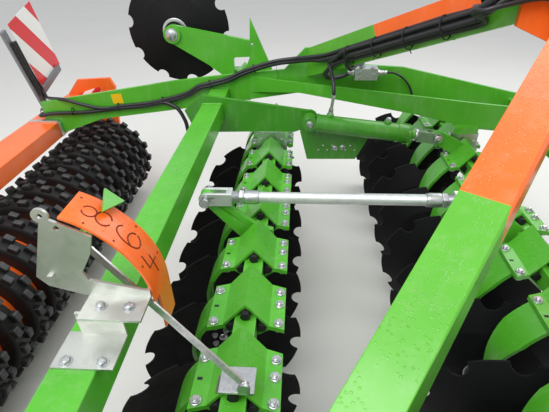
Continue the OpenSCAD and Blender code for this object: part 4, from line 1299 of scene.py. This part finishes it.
@dataclass
class Hydraulics(Assembly):
    """Hoses from the rear along the left side member and strut to the mast, and the lamp cable."""

    radius: float = 11.0
    # Y of the hoses along the side member, and their distance from the strut
    lane: float = 976.0
    gap: float = 5.0
    # X and Y of the holder's couplers at the mast, and the height of each one
    coupler: tuple[float, float] = (889.7, 84.0)
    levels: tuple[float, ...] = (1596.0, 1564.0, 1530.0, 1500.0)
    # Largest reach along the strut to which hoses lie on it
    strut_end: float = 1000.0
    main: list[Vector] = field(default_factory=list)

    def beside(self, s: float, h: float, out: float = 0.0) -> Vector:
        """Gives a point beside the left strut's inner face.

        Args:
            s: length along the strut from its foot.
            h: height above the strut's middle line.
            out: extra distance from the face.

        Returns:
            The point in machine millimetres.
        """
        along, inward, up = StrutLine.axes()
        return StrutLine.foot + along * s + inward * (StrutLine.width / 2 + self.radius + self.gap + out) + up * h

    def climb(self, start: float, step: float, h: float, out: float = 0.0) -> list[Vector]:
        """Gives points of a hose that climbs beside the strut."""
        return [self.beside(start + step * k, h, out) for k in range(int((self.strut_end - start) / step) + 1)]

    def arrival(self, level: int, bend: tuple, rise: tuple, knee: tuple) -> list[tuple]:
        """Gives the last points of a hose, round the mast plate to its coupler.

        Args:
            level: number of the coupler, from the top.
            bend: the point where the hose leaves the strut.
            rise: the point below the mast plate's edge.
            knee: X and Z of the last bend.

        Returns:
            The points in machine millimetres.
        """
        x, y = self.coupler
        z = self.levels[level]
        return [bend, rise, (knee[0], y, knee[1]), (820, y, z), (x, y, z)]

    def lines(self) -> dict[str, tuple[list, float]]:
        """Gives the course of every hose.

        Returns:
            The points and the radius of each, in machine millimetres, by its name.
        """
        y, r = self.lane, self.radius
        rear = [
            (-1464, 1065, 1180), (-1464, 1120, 990), (-1462, 1165, 850), (-1440, 1140, 785), (-1402, 1065, 775),
            (-1402, 1008, 778), (-1378, 968, 788), (-1320, y - 4, 798), (-1250, y, 802), (-1100, y, 808),
            (-900, y, 832), (-700, y, 855), (-500, y, 905), (-420, y - 2, 948), (-350, y - 2, 966),
            (-250, y - 2, 992), (-150, y - 2, 1035), (0, 966, 1082), (115, 948, 1102), (196, 905, 1120),
            *self.climb(150, 170, -12), *self.arrival(0, (702, 160, 1500), (706, 108, 1545), (748, 1582)),
        ]
        short = [
            (429.2, 955, 1040), (405, 955, 1039), (362, 930, 1027), (300, 885, 1034), (270, 834, 1068),
            *self.climb(240, 152, -42), *self.arrival(1, (684, 165, 1452), (690, 104, 1480), (742, 1532)),
        ]
        feed = [
            (470, 955, 1071), (466, 946, 1090), (430, 870, 1106), (388, 768, 1112), (362, 712, 1150),
            self.beside(345, -27, 12), *self.climb(420, 145, -28, 21),
            *self.arrival(2, (694, 163, 1446), (702, 104, 1462), (748, 1506)),
        ]
        port = [
            (309, 690, 1010), (309, 693, 1032), (303, 730, 1076), (292, 790, 1112), (286, 812, 1130),
            self.beside(250, -22, 13), *self.climb(330, 167.5, -2, 19),
            *self.arrival(3, (682, 156, 1468), (684, 98, 1466), (732, 1482)),
        ]
        lamp = [
            (-1464, 1086, 1180), (-1464, 1141, 990), (-1458, 1180, 880), (-1420, 1140, 842), (-1330, 1040, 868),
            (-1207, 972, 884), (-1104, 968, 856), (-990, 972, 833), (-860, y - 2, 850), (-700, y - 3, 869),
            (-500, y - 3, 919), (-420, y - 4, 962), (-350, y - 5, 981), (-250, y - 5, 1007), (-150, y - 5, 1050),
            (0, 961, 1097), (115, 941, 1118), (196, 895, 1137), *self.climb(165, 167, 9, -4),
            (712, 170, 1540), (720, 120, 1560), (752, 108, 1570), (829, 106, 1575),
        ]
        branch = [
            (-700, y, 858), (-640, y - 2, 868), (-594, 966, 862), (-545, 956, 834), (-512, 950, 765),
            (-500, 948, 700), (-450, 946, 690), (-380, 945, 760), (-330, 945, 846),
        ]
        lock = [(600, 955, 1040), (640, 957, 1038), (690, 966, 1010), (735, 975, 962), (760, 978, 905), (766, 978, 868)]
        return {
            "hose_long": (rear, r),
            "hose_short": (short, r),
            "hose_feed": (feed, r),
            "hose_port": (port, r * 0.8),
            "lamp_cable": (lamp, 9.5),
            "hose_branch": (branch, r),
            "hose_lock": (lock, 5.5),
        }

    def build(self) -> None:
        """Makes the hoses as smooth tubes, with ties and end fittings."""
        for name, (points, radius) in self.lines().items():
            path = spline([at(*p) for p in points], 6)
            # The long hose stands for the CAD's hoses, and carries the ties
            main = name == "hose_long"
            tube(name, path, radius * MM, "frame", HOSE, ("hoses",) if main else (), 5)
            if main:
                self.main = path
        self.fittings()
        self.ties()

    def fittings(self) -> None:
        """Adds the ferrules and nuts at the hoses' ends and the holder of the lower couplers."""
        metal = Shape()
        ferrule = [(0, 0.013), (0.0125, 0.013), (0.0135, 0.016), (0.0135, 0.034), (0.0118, 0.036)]
        for spot, way in ((at(430, 955, 1040), -FORWARD), (at(550, 955, 1040), FORWARD), (at(470, 955, 1070), UP)):
            metal.hexagon(0.0165, 0.014, facing(spot, way), 0.0015)
            metal.turned(ferrule, facing(spot, way), 22)
        run = facing(at(584, 955, 1040), FORWARD)
        metal.turned(puck(0.009, 0.014), run, 18)
        metal.hexagon(0.012, 0.011, run @ Matrix.Translation((0, 0, 0.006)), 0.0012)
        metal.hexagon(0.010, 0.008, [facing(at(x, y, 1070), UP) for x, y in ((520, 925), (528, 947))], 0.001)
        plugs = [facing(at(x, 920, z), -LEFT, 11) for x, z in ((455, 1052), (455, 1026), (525, 1040))]
        metal.hexagon(0.0105, 0.006, plugs, 0.001)
        x, y = self.coupler
        nut = [(0, 0), (0.0125, 0), (0.0135, 0.002), (0.0135, 0.022), (0.0115, 0.024), (0.0115, 0.033)]
        nut.append((0.0, 0.033))
        metal.turned(nut, [facing(at(x - 34, y, z), FORWARD) for z in self.levels], 22)
        metal.block((0.010, 0.0427, 0.062), Matrix.Translation(at(x + 5.3, 88.4, 1482)), 0.0015)
        metal.piece("hose_fittings", "frame", ZINC)

    def ties(self) -> None:
        """Adds cable ties round the hoses along the side member and round the bundle on the strut."""
        bands = Shape()
        spacing, last_x = 0.27, 0.15
        loop = [(0.0116, -0.0022), (0.0135, -0.0022), (0.0135, 0.0022), (0.0116, 0.0022)]
        run = 0.0
        for a, b in zip(self.main, self.main[1:]):
            run += (b - a).length
            if run > spacing and b.x < last_x:
                run = 0.0
                place = facing(a + UP * 0.009, (b - a).normalized())
                bands.turned(loop, place @ Matrix.Diagonal((1.0, 1.75, 1.0, 1.0)), 24)
                bands.block((0.006, 0.006, 0.005), place @ Matrix.Translation((0.0140, 0, -0.0025)), 0.0008)
        # Wide ties round the bundle on the strut, each with its loose tail
        loop = [(1.0, -0.0028), (1.05, -0.0028), (1.05, 0.0028), (1.0, 0.0028)]
        for k, s in enumerate((345, 520, 690, 860)):
            middle, ahead = at(*self.beside(s, -24, 6)), at(*self.beside(s + 10, -24, 6))
            place = facing(middle, (ahead - middle).normalized())
            bands.turned(loop, place @ Matrix.Diagonal((0.0285, 0.041, 1.0, 1.0)), 32)
            tail = place @ Matrix.Rotation(math.radians(200 + 35 * k), 4, "Z") @ Matrix.Translation((0.034, 0, 0))
            bands.block((0.0045, 0.0014, 0.026), tail @ Matrix.Rotation(math.radians(72), 4, "Y"), 0.0004)
        bands.block((0.0045, 0.0014, 0.085), facing(at(18, 962, 1075), Vector((0.1, 0.0, -1.0))), 0.0004)
        bands.piece("cable_ties", "frame", PLASTIC)


@dataclass
class Studio:
    """Pale floor, soft light and the camera of the photograph."""

    place: Triple = (0.1525, -1.270, 1.676)
    yaw: float = 4.04
    pitch: float = 33.82
    roll: float = -1.25
    # Focal length in pixels of the photograph, and the sensor's width in millimetres
    focal: float = 412.0
    sensor: float = 36.0

    def build(self) -> None:
        """Makes the camera, the floor, the lamps and the sky."""
        self.camera()
        self.floor()
        self.light()

    @staticmethod
    def stand(name: str, data: bpy.types.ID) -> bpy.types.Object:
        """Links an object of the studio.

        Args:
            name: its name.
            data: its camera, lamp or mesh.

        Returns:
            The new object.
        """
        made = bpy.data.objects.new(name, data)
        bpy.context.scene.collection.objects.link(made)
        return made

    def camera(self) -> None:
        """Sets the camera from its yaw to the right side, its pitch down and its roll."""
        yaw, pitch, roll = (math.radians(v) for v in (self.yaw, self.pitch, self.roll))
        forward = Vector((-math.sin(yaw) * math.cos(pitch), math.cos(yaw) * math.cos(pitch), -math.sin(pitch)))
        right = Vector((math.cos(yaw), math.sin(yaw), 0))
        top = right.cross(forward)
        x = right * math.cos(roll) + top * math.sin(roll)
        y = -right * math.sin(roll) + top * math.cos(roll)
        lens = bpy.data.cameras.new("camera")
        lens.sensor_width = self.sensor
        lens.lens = self.focal / IMAGE[0] * self.sensor
        lens.clip_end = 200.0
        camera = self.stand("camera", lens)
        camera.matrix_world = Matrix.Translation(Vector(self.place)) @ Matrix((x, y, -forward)).transposed().to_4x4()
        bpy.context.scene.camera = camera

    def floor(self) -> None:
        """Makes a plain pale floor that keeps the machine's shadow."""
        mesh = bpy.data.meshes.new("floor")
        grid = bmesh.new()
        bmesh.ops.create_grid(grid, x_segments=1, y_segments=1, size=60.0)
        grid.to_mesh(mesh)
        grid.free()
        web = Web("pale floor")
        cloud = web.add("TexNoise", web.coords, Scale=1.4, Detail=4.0)
        tone = web.add("Mix", cloud, *web.gap, srgb("#e4e3de"), srgb("#dddcd6"), data_type="RGBA")
        web.plug(web.shader, Base_Color=tone, Roughness=0.9)
        mesh.materials.append(web.material)
        plane = self.stand("floor", mesh)

    def light(self) -> None:
        """Sets a broad soft lamp above, a weaker one in front and an even sky."""
        middle = Vector((0, 0, 0.6))
        for name, spot, power in (("key", (-1.5, -2.5, 5.5), 260.0), ("fill", (3.0, 2.5, 4.5), 110.0)):
            lamp = bpy.data.lights.new(name, "AREA")
            lamp.size = 4.0
            lamp.energy = power
            holder = self.stand(name, lamp)
            holder.location = spot
            holder.rotation_euler = (middle - Vector(spot)).to_track_quat("-Z", "Y").to_euler()
        world = bpy.data.worlds.new("sky")
        world.use_nodes = True
        sky = world.node_tree.nodes["Background"]
        sky.inputs["Color"].default_value = srgb("#f2f5fa")
        sky.inputs["Strength"].default_value = 0.75
        bpy.context.scene.world = world
        bpy.context.scene.view_settings.view_transform = "Standard"


def write_sizes() -> None:
    """Updates the view layer."""
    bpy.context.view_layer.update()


def main() -> None:
    """Builds and dresses the machine, part by part."""
    logging.basicConfig(level=logging.INFO, format="%(name)s: %(message)s")
    Studio().build()
    for assembly in (
        DiscRow("front", 990.0, 12, 1),
        DiscRow("rear", 0.0, 11, -1),
        Roller(),
        MainFrame(),
        EdgeDisc(),
        DepthGauge(),
        Cylinder(),
        Turnbuckle(),
        WarningBoards(),
        Hydraulics(),
    ):
        assembly.build()
        assembly.dress()
        log.info("%s is finished", type(assembly).__name__)
    write_sizes()


if __name__ == "__main__":
    main()
